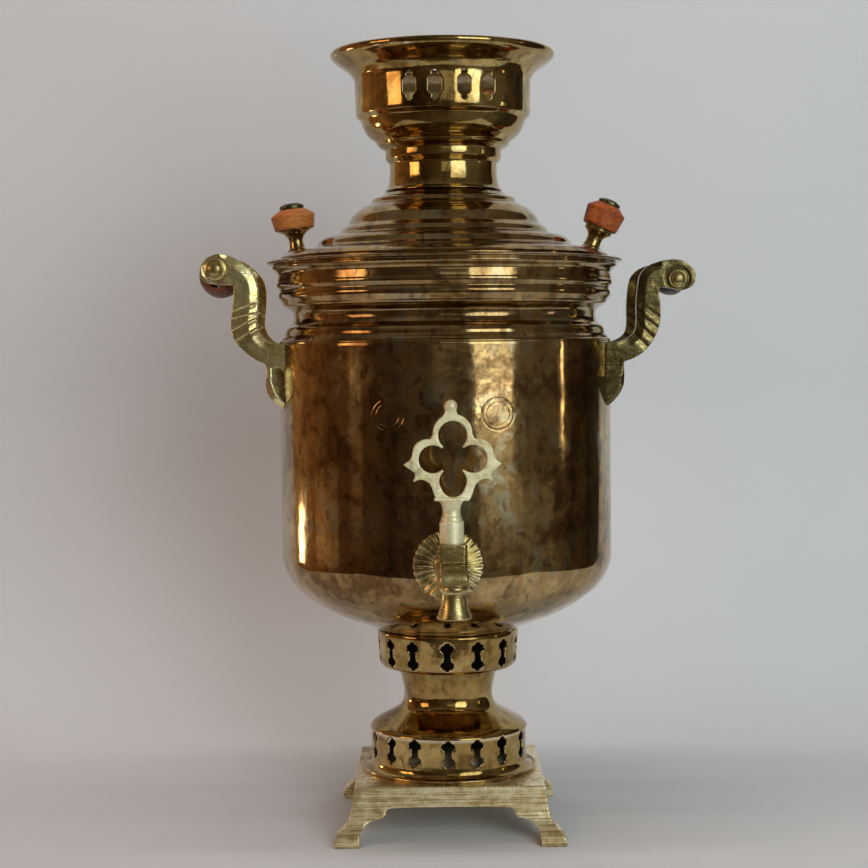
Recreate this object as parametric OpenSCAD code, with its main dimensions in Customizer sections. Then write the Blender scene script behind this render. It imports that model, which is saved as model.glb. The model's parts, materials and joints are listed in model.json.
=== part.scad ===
// Charcoal-fired brass samovar with a drop-in lid, a lift-off teapot crown,
// two bracket handles with turned wooden grips and a plug tap with a quatrefoil key.
// Millimetres. +Z is up, the floor is z = 0, the vessel's axis is x = y = 0,
// the tap faces -Y and the handles stand at -X and +X.

/* [Vessel] */
// Outside diameter of the water vessel
body_d = 196.8; // [194:0.2:198]
// Thickness of the spun sheet brass
sheet = 1.2; // [1:0.1:1.4]
// Outside radius of the fire tube where it leaves the lid
flue_r = 30.2; // [29.6:0.1:30.4]
// Outside radius of the fire tube at the firebox
firebox_r = 36; // [34:0.5:37]
// Height of the top of the fire tube above the floor
flue_top = 396; // [388:1:398]

/* [Base] */
// Side of the square plate at its top edge
plate_w = 110; // [106:1:114]
// Height of the top of the plate above the floor
plate_z = 32.4; // [32:0.1:33]
// Thickness of the plate
plate_t = 3.4; // [3:0.2:4]
// Wall of the hollow foot casting
foot_t = 3.6; // [3:0.2:4.5]
// Thickness of the iron grate
grate_t = 4; // [3:0.5:5]

/* [Air slots] */
// Height of an air slot in the collar
slot_h = 16.8; // [14:0.2:17]
// Width of a slot across its lobes
slot_w = 8; // [7:0.2:8.4]
// Width of a slot at its waist
slot_waist = 3.9; // [3:0.1:4.5]

/* [Handles] */
// Distance between the centre planes of a handle's two brackets
bracket_gap = 55; // [52:1:58]
// Thickness of a cast bracket
bracket_t = 9; // [8:0.5:10]
// Radius of the rod that carries a grip
rod_r = 2.6; // [2.4:0.1:3]
// Largest radius of the left grip
grip_left_r = 12.3; // [11:0.1:12.6]
// Largest radius of the right grip
grip_right_r = 8.6; // [8:0.1:11]
// How far the loose left grip hangs below its rod
grip_hang = 3.6; // [0:0.2:4.2]

/* [Lid knobs] */
// Distance of a knob's foot from the vessel's axis
knob_x = 87.4; // [86:0.2:88]
// Outward lean of the left knob, in degrees
knob_lean_left = 7; // [4:1:10]
// Outward lean of the right knob, in degrees
knob_lean_right = 23.5; // [18:0.5:25]

/* [Tap] */
// Distance of the plug's axis from the vessel's axis
tap_y = 130; // [129:0.5:132]
// Height of the tap's arm above the floor
tap_z = 165.4; // [165:0.1:166]
// How far the tap points aside from the front, in degrees
tap_yaw = 3.2; // [0:0.2:4]
// Radius of the water way through the tap
water_r = 3.4; // [3:0.1:3.6]
// Radius of the fluted rosette
rosette_r = 19.7; // [18:0.1:21]
// Number of flutes on the rosette
flutes = 30; // [24:2:34]
// Thickness of the openwork key
key_t = 4.4; // [4:0.2:5]
// Radial clearance of the plug in the barrel
plug_gap = 0.05; // [0.03:0.01:0.08]

/* [Hidden] */
$fn = 96;
br = body_d / 2;

// ---- curves and sheet-metal sections ----
// Catmull-Rom value between b and c
function cr(a, b, c, d, t) =
    0.5 * (2 * b + (c - a) * t + (2 * a - 5 * b + 4 * c - d) * t * t
           + (3 * b - a - 3 * c + d) * t * t * t);
// smooth curve through the points p, k steps between two points
function curve(p, k) = let (n = len(p)) [
    for (i = [0 : n - 2]) for (j = [0 : k - 1])
        let (a = p[max(0, i - 1)], b = p[i], c = p[i + 1], d = p[min(n - 1, i + 2)])
        [cr(a[0], b[0], c[0], d[0], j / k), cr(a[1], b[1], c[1], d[1], j / k)],
    p[n - 1]];
// unit normal to the left of the path at point i
function side(p, i) = let (a = p[max(0, i - 1)], b = p[min(len(p) - 1, i + 1)],
    d = b - a, l = norm(d)) [-d[1] / l, d[0] / l];
// closed section of a sheet of thickness t that lies to the left of the path p
function sheet_section(p, t) =
    concat(p, [for (i = [len(p) - 1 : -1 : 0]) p[i] + t * side(p, i)]);
// points of an arc from angle a to angle b
function arc(x, y, r, a, b, n) = [for (i = [0 : n])
    let (t = a + (b - a) * i / n) [x + r * cos(t), y + r * sin(t)]];
// mirror a list of points left to right
function flip(p) = [for (q = p) [-q[0], q[1]]];

// ---- base casting: square plate, arched aprons and four splayed hoof feet ----
// half width of the casting against height
foot_half = concat(
    curve([[plate_w / 2 + 11.5, 0], [plate_w / 2 + 11.6, 2.6], [plate_w / 2 + 10.6, 5.6],
           [plate_w / 2 + 8.4, 8.4], [plate_w / 2 + 5, 11], [plate_w / 2 + 3, 15],
           [plate_w / 2 + 1.9, 19]], 3),
    [[plate_w / 2 + 0.9, 25], [plate_w / 2 + 0.2, plate_z - 1], [plate_w / 2 - 0.4, plate_z]]);
// outline of the arch between two feet, right half from the middle outwards
arch = concat([[0, 20.9], [20, 20.7], [33.5, 20.4]],
    curve([[33.5, 20.4], [35.6, 19.8], [36.7, 18.4], [37, 16.8], [38.6, 15.2],
           [41, 14.5], [45.5, 13.2], [49, 10.8], [51.2, 7.6], [52, 4], [51.8, 1], [51.8, -1]], 2));

module foot_prism(shrink, top) {
    p = [for (q = foot_half) [q[0] - shrink, q[1]]];
    prof = concat([[p[0][0], -shrink - 1]], p, [[p[len(p) - 1][0], top]]);
    outline = concat(prof, [for (i = [len(prof) - 1 : -1 : 0]) [-prof[i][0], prof[i][1]]]);
    intersection() {
        rotate([90, 0, 0]) linear_extrude(height = 200, center = true) polygon(outline);
        rotate([90, 0, 90]) linear_extrude(height = 200, center = true) polygon(outline);
    }
}

module base_casting() color([0.80, 0.68, 0.36]) difference() {
    intersection() {
        foot_prism(0, plate_z);
        translate([-100, -100, 0]) cube([200, 200, plate_z]);
    }
    intersection() {
        foot_prism(foot_t, plate_z);
        translate([-53, -53, -1]) cube([106, 106, plate_z - plate_t + 1]);
    }
    for (a = [0, 90]) rotate([90, 0, a]) linear_extrude(height = 200, center = true)
        polygon(concat(arch, [for (i = [len(arch) - 1 : -1 : 1]) [-arch[i][0], arch[i][1]]]));
}

// ---- air slots ----
// outline of a slot: a narrow waist with a trefoil lobe at each end
module slot2d(slot_h) {
    lobe = slot_w / 4;
    for (s = [-1, 1]) {
        translate([0, s * (slot_h / 2 - lobe)]) circle(r = lobe);
        for (q = [-1, 1]) translate([q * (slot_w / 2 - lobe), s * (slot_h / 2 - lobe - 1.5)])
            circle(r = lobe);
    }
    polygon([for (s = [1, -1]) for (t = [-1 : 0.25 : 1])
        [s * (slot_waist / 2 + (slot_w / 2 - 0.9 - slot_waist / 2) * t * t),
         s * t * (slot_h / 2 - lobe - 1.5)]]);
}

// a slot cutter that points outwards at an angle measured from the tap's side
module slot_cutter(a, z, r0, r1) {
    rotate([0, 0, a]) translate([0, -r0, z]) rotate([90, 0, 0])
        linear_extrude(height = r1 - r0) children();
}

// ---- pedestal ----
drum_slots = [-72, -47.5, -26, -1, 20.5, 42, 67.5, 91, 115, 139, 163, 187, 211, 235, 261];
drum_path = concat(
    [[52.0, plate_z + 0.9], [52.5, plate_z + 1.3], [52.5, plate_z + 1.8]],
    curve([[52.2, plate_z + 2.3], [51.2, plate_z + 2.3], [50.4, plate_z + 1.9],
           [49.4, plate_z + 2.2], [48.2, plate_z + 3], [47.2, plate_z + 4.2],
           [46.7, plate_z + 6]], 2),
    [[46.5, plate_z + 9], [46.5, 57.2]]);
bell_path = concat(curve([[47.2, 57.35], [47.1, 57.9], [46.6, 58.7], [45.8, 59.6], [44, 61.1],
                   [40.6, 63], [36.9, 65], [33.4, 66.9], [30.1, 68.9], [28.1, 71.2],
                   [26.9, 74], [26.5, 77.6], [27, 82], [28, 87], [29.2, 91], [29.7, 92.4]], 3),
    [[29.7, 93]]);

module pedestal_drum() color([0.62, 0.46, 0.20]) difference() {
    rotate_extrude() polygon(concat(drum_path, [[46.5 - sheet, 57.2], [46.5 - sheet, plate_z + 9],
        [46.7 - sheet, plate_z + 6], [47 - sheet, plate_z + 4.2], [46.9, plate_z], [52, plate_z]]));
    for (a = drum_slots) slot_cutter(a, 48.6, 40, 56) slot2d(16);
}

module pedestal_bell() color([0.62, 0.45, 0.19])
    rotate_extrude() polygon(sheet_section(bell_path, sheet));

// ---- pierced air collar under the vessel ----
collar_slots = [-81, -55, -30.5, -1, 24.5, 51, 77, 110, 140, 168, 196, 226, 256];
collar_path = concat(
    curve([[28.8, 93.05], [32, 93.05], [35, 93.3], [37.8, 93.9], [39.8, 95], [40.9, 96.8],
           [41.2, 99]], 3), [[42.3, 114.6], [42.2, 115.8], [41.3, 116.5]]);

module air_collar() color([0.60, 0.44, 0.19]) difference() {
    rotate_extrude() polygon(sheet_section(collar_path, sheet));
    for (a = collar_slots) slot_cutter(a, 104.6, 37.5, 48) slot2d(slot_h);
}

// ---- iron grate on the lip at the foot of the fire tube ----
module grate() color([0.16, 0.15, 0.14]) difference() {
    translate([0, 0, 114.3]) cylinder(r = firebox_r - sheet - 0.5, h = grate_t);
    for (i = [-2 : 2]) let (y = i * 9.6, l = sqrt(pow(firebox_r - 6, 2) - y * y))
        translate([-l, y - 2.6, 105]) cube([2 * l, 5.2, 20]);
}

// ---- fire tube: firebox below, narrowing to the flue that leaves the lid ----
tube_path = concat([[firebox_r, 113], [firebox_r, 138]],
    curve([[firebox_r, 138], [firebox_r - 0.6, 170], [(firebox_r + flue_r) / 2, 230],
           [flue_r + 0.5, 300], [flue_r, 340]], 2), [[flue_r, flue_top]]);

module fire_tube() color([0.55, 0.45, 0.30]) rotate_extrude()
    polygon(concat(tube_path,
        [for (i = [len(tube_path) - 1 : -1 : 1]) [tube_path[i][0] - sheet, tube_path[i][1]]],
        [[firebox_r - sheet, 114.3], [firebox_r - 3.2, 114.3], [firebox_r - 3.2, 113]]));

// ---- water vessel: straight wall and bowl-shaped bottom in one spun piece ----
bowl_path = concat([[firebox_r + 0.05, 115.6]], curve([[firebox_r + 0.6, 115.6], [42.3, 117], [47.4, 119.6], [53, 121.8], [58.8, 124],
    [64.8, 126.3], [70.4, 128.9], [76, 132], [80.6, 134.9], [84.4, 137.7], [87.6, 140.3],
    [90.4, 143], [92.8, 145.9], [94.7, 148.9], [96.2, 152], [97.4, 155.3], [98.2, 158.6],
    [98.4, 162]], 2));
body_path = concat([for (p = bowl_path) [p[0] > 90 ? br - (98.4 - p[0]) : p[0], p[1]]],
    [[br, 287.6]]);

module body_shell() color([0.42, 0.29, 0.14]) difference() {
    rotate_extrude() polygon(sheet_section(body_path, sheet));
    arm_frame() translate([0, 0, 80]) cylinder(r = 6.1, h = 40);
}

// ---- shoulder ring: bead, cove, ridge, band and the two lips under the lid ----
// radius and height, for a vessel of 98.4 radius
ring_outer = concat(
    [[98.4, 287.6], [98.7, 288.3], [98.4, 289.1], [97.3, 289.5], [97.2, 290.1], [96.6, 290.9],
     [95.6, 292.1], [95.3, 292.8], [95.1, 294.3]],
    curve([[94.7, 295.5], [93.8, 296.9], [92, 298.3], [90.8, 300.1], [90.1, 302], [90, 303.8],
           [90.4, 305.6], [91.6, 307.1], [93.4, 308.4], [95.2, 309.3]], 2),
    [[96.2, 310.3], [96.5, 311.4], [97.6, 312.9], [98.6, 314.3], [98.9, 316], [98.5, 317.5],
     [97.9, 318.6], [98, 319.4], [98.9, 320.2], [99.8, 321.3], [99.9, 322.8], [99.5, 323.8],
     [99.4, 325.2]],
    curve([[99, 328.2], [99.6, 329.4], [101, 330.6], [102.1, 331.5], [102.6, 332.4],
           [102.4, 333.2]], 2),
    [[102.1, 333.6], [104.4, 334.2], [105.7, 334.8], [105.8, 335.4], [105, 336],
     [101.4, 336.4], [97.4, 336.7], [93.4, 336.9]]);
ring_inner = [[93.4, 335.7], [98.8, 335], [100.6, 333.6], [99.9, 331.9], [98.2, 330.2],
    [97.8, 328.4], [98.2, 325], [98.5, 322.4], [97.6, 320.8], [96.7, 319], [97.2, 317],
    [97.6, 315.6], [96.4, 313.8], [95.2, 311.8], [93.9, 310.2], [91.4, 308.6], [89.6, 307],
    [88.8, 304.6], [88.8, 302.6], [89.5, 299.8], [91.1, 297.4], [93, 295.6], [93.7, 294.4],
    [93.9, 292.6], [94.6, 291.2], [95.9, 289.8], [96.2, 288.6], [97.2, 287.6]];

module top_ring() color([0.45, 0.31, 0.14]) rotate_extrude()
    polygon([for (p = concat(ring_outer, ring_inner)) [br - 98.4 + p[0], p[1]]]);

// ---- lid: stepped spun sheet with a skirt and a sleeve round the fire tube ----
lid_slope = 11.02;
lid_path = concat([[97.4, 338.2], [95.9, 339.5], [94, 340.9], [78.6, 343.9]],
    curve([[76.6, 344.4], [75.7, 345.4], [75, 346.8], [74, 348], [72.4, 349.2], [69.5, 350.2]], 2),
    [[64.5, 351.4]],
    curve([[62.6, 351.9], [61.8, 353.2], [61.2, 354.4], [60, 355.6], [58.6, 356.4],
           [57.4, 357.3], [56.6, 358.8], [55.9, 360.4], [54.6, 362.6], [51.8, 365.2],
           [48.6, 367.5], [45, 369.2]], 2),
    curve([[43.6, 369.9], [43, 371], [42.6, 372.2], [41.5, 373], [38.8, 373.9], [36.6, 375.1],
           [35, 376.3], [31.4, 376.9]], 2));

module lid() color([0.46, 0.33, 0.16]) difference() {
    union() {
        rotate_extrude() polygon(sheet_section(lid_path, 1.1));
        rotate_extrude() translate([91.9, 330]) square([1.1, 10.4]);
        rotate_extrude() translate([31.1, 362]) square([1.2, 14.2]);
    }
    for (s = [-1, 1]) knob_foot(s) translate([0, 0, -4]) cylinder(r = 2.1, h = 8);
    vent_place() translate([0, 0, -4]) cylinder(r = 2.6, h = 8);
}

// ---- lid knobs ----
// frame on the slope of the lid at a knob's foot
module knob_foot(s) translate([s * knob_x, 0, 340.9 + (94 - knob_x) * tan(lid_slope)])
    rotate([0, s * lid_slope, 0]) children();
// frame of the turned knob itself, leaning outwards
module knob_place(s, lean) translate([s * knob_x, 0, 341.7 + (94 - knob_x) * tan(lid_slope)])
    rotate([0, s * lean, 0]) children();

// turned stem on a round foot, with a tail through the lid and a spigot for the wood
module knob_stem(s, lean, neck, top) color([0.70, 0.55, 0.25]) {
    knob_foot(s) translate([0, 0, -3.6]) cylinder(r = 2, h = 4.4);
    knob_foot(s) rotate_extrude() polygon([[0, 0], [5.8, 0], [6.2, 0.7], [5.8, 1.4], [4.8, 2.4], [0, 2.4]]);
    knob_place(s, lean) rotate_extrude() polygon(concat([[0, 0.8]], neck, [[3, neck[len(neck) - 1][1]], [3, top], [0, top]]));
}
stem_left = concat(curve([[4.9, 0.8], [4.5, 2.6], [4.2, 4.8], [4.3, 6.6], [5.2, 8.6], [7.2, 10.6],
    [9.4, 11.8]], 3), [[9.7, 12.5]]);
stem_right = concat(curve([[5.2, 0.8], [4.8, 2.4], [4.6, 4.6], [4.7, 6.6], [5.6, 8.4], [7.2, 9.8],
    [8, 10.4]], 3), [[8.4, 10.7], [8.5, 11.4], [8.1, 11.8], [8.5, 12.2], [8.5, 12.8]]);

// wooden ring, wider towards the top, its edges chamfered
module knob_wood(s, lean, outer) color([0.62, 0.30, 0.12]) knob_place(s, lean) rotate_extrude()
    polygon(concat([[3.06, outer[0][1]]], outer, [[3.06, outer[len(outer) - 1][1]]]));
wood_left = concat(curve([[10.9, 12.6], [11.6, 12.9], [11.9, 13.6]], 2),
    curve([[12.9, 19.4], [13.1, 20.4], [12.8, 21.3]], 2), curve([[8.9, 23.9], [8.2, 24.4], [7.6, 24.6]], 2));
wood_right = concat(curve([[9.4, 12.9], [10.2, 13.3], [10.7, 14.3]], 2),
    curve([[11.7, 22.2], [11.9, 23.2], [11.6, 24]], 2), curve([[9, 25.9], [8.2, 26.7], [7.6, 27.1]], 2));

// dark nut and washer that clamp the wood
module knob_cap(s, lean, z, r) color([0.40, 0.33, 0.18]) knob_place(s, lean) translate([0, 0, z])
    rotate_extrude() polygon([[0, 0], [r - 0.2, 0], [r, 0.4], [r, 2], [r - 0.6, 2.5],
        [r - 1.6, 2.6], [r - 2, 3.1], [r - 3.6, 3.5], [0, 3.6]]);

module lid_knob_stem_left() knob_stem(-1, knob_lean_left, stem_left, 24.6);
module lid_knob_stem_right() knob_stem(1, knob_lean_right, stem_right, 27.1);
module lid_knob_wood_left() knob_wood(-1, knob_lean_left, wood_left);
module lid_knob_wood_right() knob_wood(1, knob_lean_right, wood_right);
module lid_knob_cap_left() knob_cap(-1, knob_lean_left, 24.7, 7.2);
module lid_knob_cap_right() knob_cap(1, knob_lean_right, 27.2, 6.8);

// flat round nuts that hold the stems from inside the lid
module lid_knob_nuts() color([0.66, 0.52, 0.26]) for (s = [-1, 1]) knob_foot(s)
    translate([0, 0, -3.4]) difference() {
        cylinder(r = 3.9, h = 2.1);
        translate([0, 0, -1]) cylinder(r = 2.02, h = 4);
    }

// ---- steam vent behind the flue: a drilled seat with a turning cap ----
module vent_place() translate([0, 84.5, 342.75]) rotate([-lid_slope, 0, 0]) children();

module steam_vent_seat() color([0.66, 0.52, 0.26]) vent_place() difference() {
    rotate_extrude() polygon([[0, -3.5], [2.5, -3.5], [2.5, 0], [5, 0], [5, 1.2], [3.8, 2],
        [3.8, 3.4], [2.5, 3.4], [2.5, 9.4], [0, 9.4]]);
    translate([0, 0, -5]) cylinder(r = 1.2, h = 12);
    translate([0, 0, 6.2]) rotate([90, 0, 0]) cylinder(r = 0.9, h = 20, center = true);
}

module steam_vent_cap() color([0.66, 0.52, 0.26]) vent_place() difference() {
    rotate_extrude() polygon([[2.56, 3.7], [4.6, 3.7], [5, 4.3], [5, 8.2], [4.3, 9.6],
        [4.2, 10.6], [4.8, 11.8], [4, 13.2], [2.4, 14], [0, 14.2], [0, 9.7], [2.56, 9.7]]);
    translate([0, 0, 6.2]) rotate([0, 90, 0]) cylinder(r = 0.9, h = 20, center = true);
}

// ---- crown: neck, cup, pierced band and flared rim that carries the teapot ----
crown_path = concat(
    curve([[35, 377.3], [34.9, 377.8], [33.9, 378.6], [33.2, 379.8], [32.5, 382.6], [32, 386.4]], 2),
    [[31.8, 392.6], [32.2, 393.8], [33.4, 395], [34.3, 396.6], [34.5, 399], [34.5, 401.2]],
    curve([[35.6, 402.3], [37.8, 403.3], [38.9, 404.4], [39.6, 406], [41.4, 407.7], [43.8, 409.4],
           [45.9, 411.9], [47.5, 414.8], [48.6, 417.6]], 2),
    [[49.1, 419], [50.2, 420.3], [51.4, 421.4], [51.9, 422.8], [52.2, 437], [52.3, 442.4]],
    curve([[52.8, 443.8], [54.2, 445.8], [56.2, 448.2], [59, 450.2], [62.2, 452.3], [64.6, 454.2],
           [66.1, 456], [66.4, 457.2], [66.2, 458.2], [65.5, 458.9]], 2));

// outline of a crown slot: a wide middle with cut corners and a nub above and below
module crown_slot2d() {
    polygon([[-2.5, -5.3], [2.5, -5.3], [3.9, -3.7], [3.9, 3.7], [2.5, 5.3], [-2.5, 5.3],
             [-3.9, 3.7], [-3.9, -3.7]]);
    translate([-1.7, -6.8]) square([3.4, 13.6]);
    for (s = [-1, 1]) translate([0, s * 6.8]) circle(r = 1.7);
}

module crown() color([0.60, 0.45, 0.20]) difference() {
    rotate_extrude() polygon(sheet_section(crown_path, sheet));
    for (h = [0, 180]) for (a = [-22, -5.2, 13.6, 30.2])
        slot_cutter(h + a, 433.6, 48, 56) crown_slot2d();
}

// ---- handle brackets: cast scroll with a boss for the rod and a leaf on the wall ----
// outlines in the plane of the scroll: distance from the vessel's axis against height
left_scroll = concat(
    curve([[92, 287.4], [99, 287.5], [103.5, 288.8], [107, 292], [109.2, 296], [109.8, 301],
           [109, 308], [108.6, 316], [108.9, 321.9], [110.8, 327.3], [114.4, 331.8], [120.4, 336.7],
           [125.6, 339.1], [130.3, 340], [135.4, 339.1], [139.6, 336.2], [141.8, 332],
           [142, 328.4], [140.7, 324.9], [137.1, 322.9], [129.6, 321.9]], 2),
    [[123.2, 322.1], [122.5, 321.2]],
    curve([[122.6, 316.5], [123.2, 309.6], [124.2, 303], [124.4, 297.6], [123.6, 292.6],
           [121.4, 288.4], [118, 284.4], [113.6, 280.6], [109, 277.6], [104.6, 275.6]], 2),
    [[104.2, 273.4]]);
right_scroll = concat(
    curve([[92, 286.6], [99.5, 286.9], [103.6, 287.9], [107.4, 289.8], [110.2, 292.8],
           [111.2, 297], [111.3, 302.4], [111.2, 309], [111.8, 316.3], [112.7, 322.5],
           [114.2, 326.7], [117.6, 330.2], [121.4, 332.2], [127, 333.7], [132.8, 334.4],
           [138.2, 333.4], [141.9, 331.1], [144.8, 328], [145.7, 324.5], [144.2, 319.2],
           [138.5, 316.4], [132.7, 317.2]], 2),
    [[127, 318.4], [124.6, 318]],
    curve([[124.3, 314.5], [125, 309], [125.2, 303], [124.8, 297.6], [123, 291.8],
           [120.2, 286.6], [116.6, 282], [112, 278.6], [107.4, 276.4], [104, 275.4]], 2),
    [[103.6, 273.4]]);
left_leaf = curve([[104.2, 273.4], [104, 269.6], [104.5, 264.6], [104.2, 260.6], [102.6, 257],
                   [100.2, 254], [97.4, 251.4], [94.2, 249.2]], 2);
right_leaf = curve([[103.6, 273.4], [103.9, 267.4], [103.6, 261.8], [101.9, 257.4], [99.4, 254.2],
                    [96.7, 251.4], [93.6, 249]], 2);
left_rod = [133.2, 331.2];
right_rod = [135, 323];

module bracket(scroll, leaf, rod, s, front) {
    y0 = front * bracket_gap / 2;
    color([0.78, 0.66, 0.36]) difference() {
        union() {
            translate([0, y0, 0]) rotate([90, 0, 0])
                linear_extrude(height = bracket_t, center = true)
                polygon(s < 0 ? flip(concat(scroll, [[90, 272]]))
                              : concat(scroll, [[90, 272]]));
            intersection() {
                translate([0, y0, 0]) rotate([90, 0, 0])
                    linear_extrude(height = 24, center = true)
                    polygon(s < 0 ? flip(concat([[90, 274.2]], leaf, [[90, 247]]))
                                  : concat([[90, 273.6]], leaf, [[90, 246.8]]));
                translate([0, y0, 0]) rotate([90, 0, 90])
                    linear_extrude(height = 400, center = true)
                    polygon(let (w = curve([[4.5, 276], [5.4, 270], [6.6, 264.6], [6.4, 258],
                                            [4.4, 253], [0, 248]], 3))
                        concat(w, [for (i = [len(w) - 2 : -1 : 0]) [-w[i][0], w[i][1]]]));
            }
        }
        translate([0, 0, 200]) cylinder(r = br, h = 120, $fn = 600);
        translate([s * rod[0], y0, rod[1]]) rotate([90, 0, 0])
            cylinder(r = rod_r + 0.04, h = 40, center = true);
    }
}
module bracket_left_front() bracket(left_scroll, left_leaf, left_rod, -1, -1);
module bracket_left_rear() bracket(left_scroll, left_leaf, left_rod, -1, 1);
module bracket_right_front() bracket(right_scroll, right_leaf, right_rod, 1, -1);
module bracket_right_rear() bracket(right_scroll, right_leaf, right_rod, 1, 1);

// rod through a pair of bosses, its ends peened into domes
module rod(p, s) color([0.72, 0.60, 0.34]) translate([s * p[0], 0, p[1]]) rotate([90, 0, 0]) {
    e = bracket_gap / 2 + bracket_t / 2;
    translate([0, 0, -e - 0.2]) cylinder(r = rod_r, h = 2 * e + 0.4);
    for (m = [0, 1]) mirror([0, 0, m]) translate([0, 0, e + 0.1]) rotate_extrude()
        polygon([[0, 0], [4.9, 0], [5.2, 0.5], [4.9, 1.1], [4.2, 1.2], [3.8, 1.9],
                 [2.9, 2.7], [1.6, 3.2], [0, 3.3]]);
}
module rod_left() rod(left_rod, -1);
module rod_right() rod(right_rod, 1);

// turned grip, its length along Y
module grip(rmax, bore) {
    h = (bracket_gap - bracket_t) / 2 - 0.5;
    rotate([90, 0, 0]) rotate_extrude() polygon(concat(
        curve([[max(bore + 1.9, rmax * 0.7), -h], [rmax * 0.82, -h * 0.88], [rmax * 0.93, -h * 0.55], [rmax, -h * 0.1],
               [rmax, h * 0.1], [rmax * 0.93, h * 0.55], [rmax * 0.82, h * 0.88],
               [max(bore + 1.9, rmax * 0.7), h]], 3), [[bore, h], [bore, -h]]));
}
module grip_left() color([0.40, 0.20, 0.13])
    translate([-left_rod[0], 0, left_rod[1] - grip_hang]) grip(grip_left_r, rod_r + grip_hang + 0.3);
module grip_right() color([0.30, 0.18, 0.13])
    translate([right_rod[0], 0, right_rod[1]]) grip(grip_right_r, rod_r + 0.06);

// ---- tap ----
spout_y = tap_y + 14.6;
// the tap's own upright frame, turned aside about its seat on the wall
module tap_frame() translate([0, -br, 0]) rotate([0, 0, tap_yaw]) translate([0, br, 0]) children();
// frame with +Z pointing out of the vessel along the tap's arm
module arm_frame() tap_frame() translate([0, 0, tap_z]) rotate([90, 0, 0]) children();

// fluted rosette bedded on the curved wall
module tap_rosette() color([0.78, 0.66, 0.38]) difference() {
    arm_frame() difference() {
        rotate_extrude() polygon([[0, 92], [rosette_r, 92], [rosette_r, br + 0.5],
            [rosette_r - 0.7, br + 1.2], [11.4, br + 3.3], [10.6, br + 3.9], [0, br + 3.9]]);
        for (i = [0 : flutes - 1]) rotate([0, 0, i * 360 / flutes])
            translate([12.3, 0, br + 3.6]) rotate([0, 105, 0]) cylinder(r = 0.9, h = 12);
        translate([0, 0, 80]) cylinder(r = 6.1, h = 40);
    }
    translate([0, 0, tap_z - 40]) cylinder(r = br, h = 80, $fn = 600);
}

// section of the barrel: a square with chamfered corners
module barrel2d() polygon([[-7.9, -6.4], [-6.4, -7.9], [6.4, -7.9], [7.9, -6.4], [7.9, 6.4],
                           [6.4, 7.9], [-6.4, 7.9], [-7.9, 6.4]]);

// one casting: shank through the wall, arm, barrel, squared elbow and turned spout
module tap_body() color([0.78, 0.64, 0.34]) difference() {
    union() {
        arm_frame() {
            translate([0, 0, 87]) cylinder(r = 6, h = 16);
            rotate_extrude() polygon(concat([[0, br + 4], [8.2, br + 4]],
                curve([[8.6, br + 4.8], [8.2, br + 6], [6.9, br + 7.2], [6.2, br + 9.4],
                       [6, br + 13], [6.3, br + 18], [7.2, br + 22]], 2), [[7.2, br + 27], [0, br + 27]]));
        }
        tap_frame() {
            translate([0, -tap_y, 151.5]) linear_extrude(height = 29) barrel2d();
            rotate([90, 0, 90]) linear_extrude(height = 12.8, center = true)
                polygon(concat([[-tap_y, 161], [-tap_y, 170.6]],
                    arc(-spout_y + 1.4, 162.8, 7.8, 90, 180, 8), [[-spout_y - 6.4, 161]]));
            translate([0, -spout_y, 0]) rotate_extrude() polygon(concat(
                [[0, 164.6], [6.3, 164.6], [6.3, 160.4], [7.2, 159.8], [7.6, 158.6], [7.3, 157.2], [6.6, 156.4]],
                curve([[6.6, 156.4], [6.7, 153.4], [7.2, 150], [8.1, 146.8], [9, 144.4]], 3),
                [[9.3, 143.8], [9.3, 143.1], [8.8, 142.7], [0, 142.7]]));
        }
    }
    // taper bore for the plug, water way, spout bore
    tap_frame() translate([0, -tap_y, 149.5]) cylinder(r1 = 4.9 + plug_gap, r2 = 6.3 + plug_gap, h = 31.2);
    arm_frame() translate([0, 0, 80]) cylinder(r = water_r, h = spout_y - 80);
    tap_frame() translate([0, -spout_y, 0]) rotate_extrude() polygon(concat([[0, 168], [3.2, 167.2], [4.6, 164.6]],
        curve([[4.6, 155.6], [4.9, 152.2], [5.8, 148.6], [6.9, 145.4], [8, 142.5]], 2), [[0, 142.5]]));
}

// hexagon nut that draws the shank up from inside the vessel
module tap_shank_nut() color([0.66, 0.52, 0.26]) arm_frame() difference() {
    translate([0, 0, 90.9]) cylinder(r = 9.6, h = 5, $fn = 6);
    translate([0, 0, 80]) cylinder(r = 6.02, h = 20);
}

// right half of the key's outline, from the foot up to the finial's neck
key_half = concat([[9.2, 203.5]],
    curve([[9.2, 204.5], [10.3, 207.4], [11.3, 210.7], [13, 213.3], [15.8, 214.8], [18.8, 214.7], [21.3, 213.4]], 2),
    [[20.2, 216.1], [20.2, 218.7], [21.8, 219.6]],
    [[26.1, 222.8], [22.8, 225.1]],
    curve([[21.6, 227.1], [21.2, 230], [20, 233], [17.6, 235.1], [14.4, 236.2], [11.7, 236.2]], 2),
    curve([[10.5, 238.7], [10.3, 241.2], [9.2, 244.2], [7, 246.9], [3.8, 249.1]], 2), [[3, 250.4], [3, 252]]);
// the four leaves stand a little to one side of the foot and the finial
key_off = 0.9;

module key_holes2d() {
    translate([0, 238.1]) circle(r = 7.7);
    translate([0, 213.9]) circle(r = 7.3);
    translate([0, 211.8]) circle(r = 6.5);
    for (s = [-1, 1]) translate([s * 10.7, 225.6]) circle(r = 7.45);
    polygon([[4.9, 232.3], [5.9, 231.1], [4.6, 225.5], [5.7, 220], [4.6, 219],
             [-4.6, 219], [-5.7, 220], [-4.6, 225.5], [-5.9, 231.1], [-4.9, 232.3]]);
}

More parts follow.
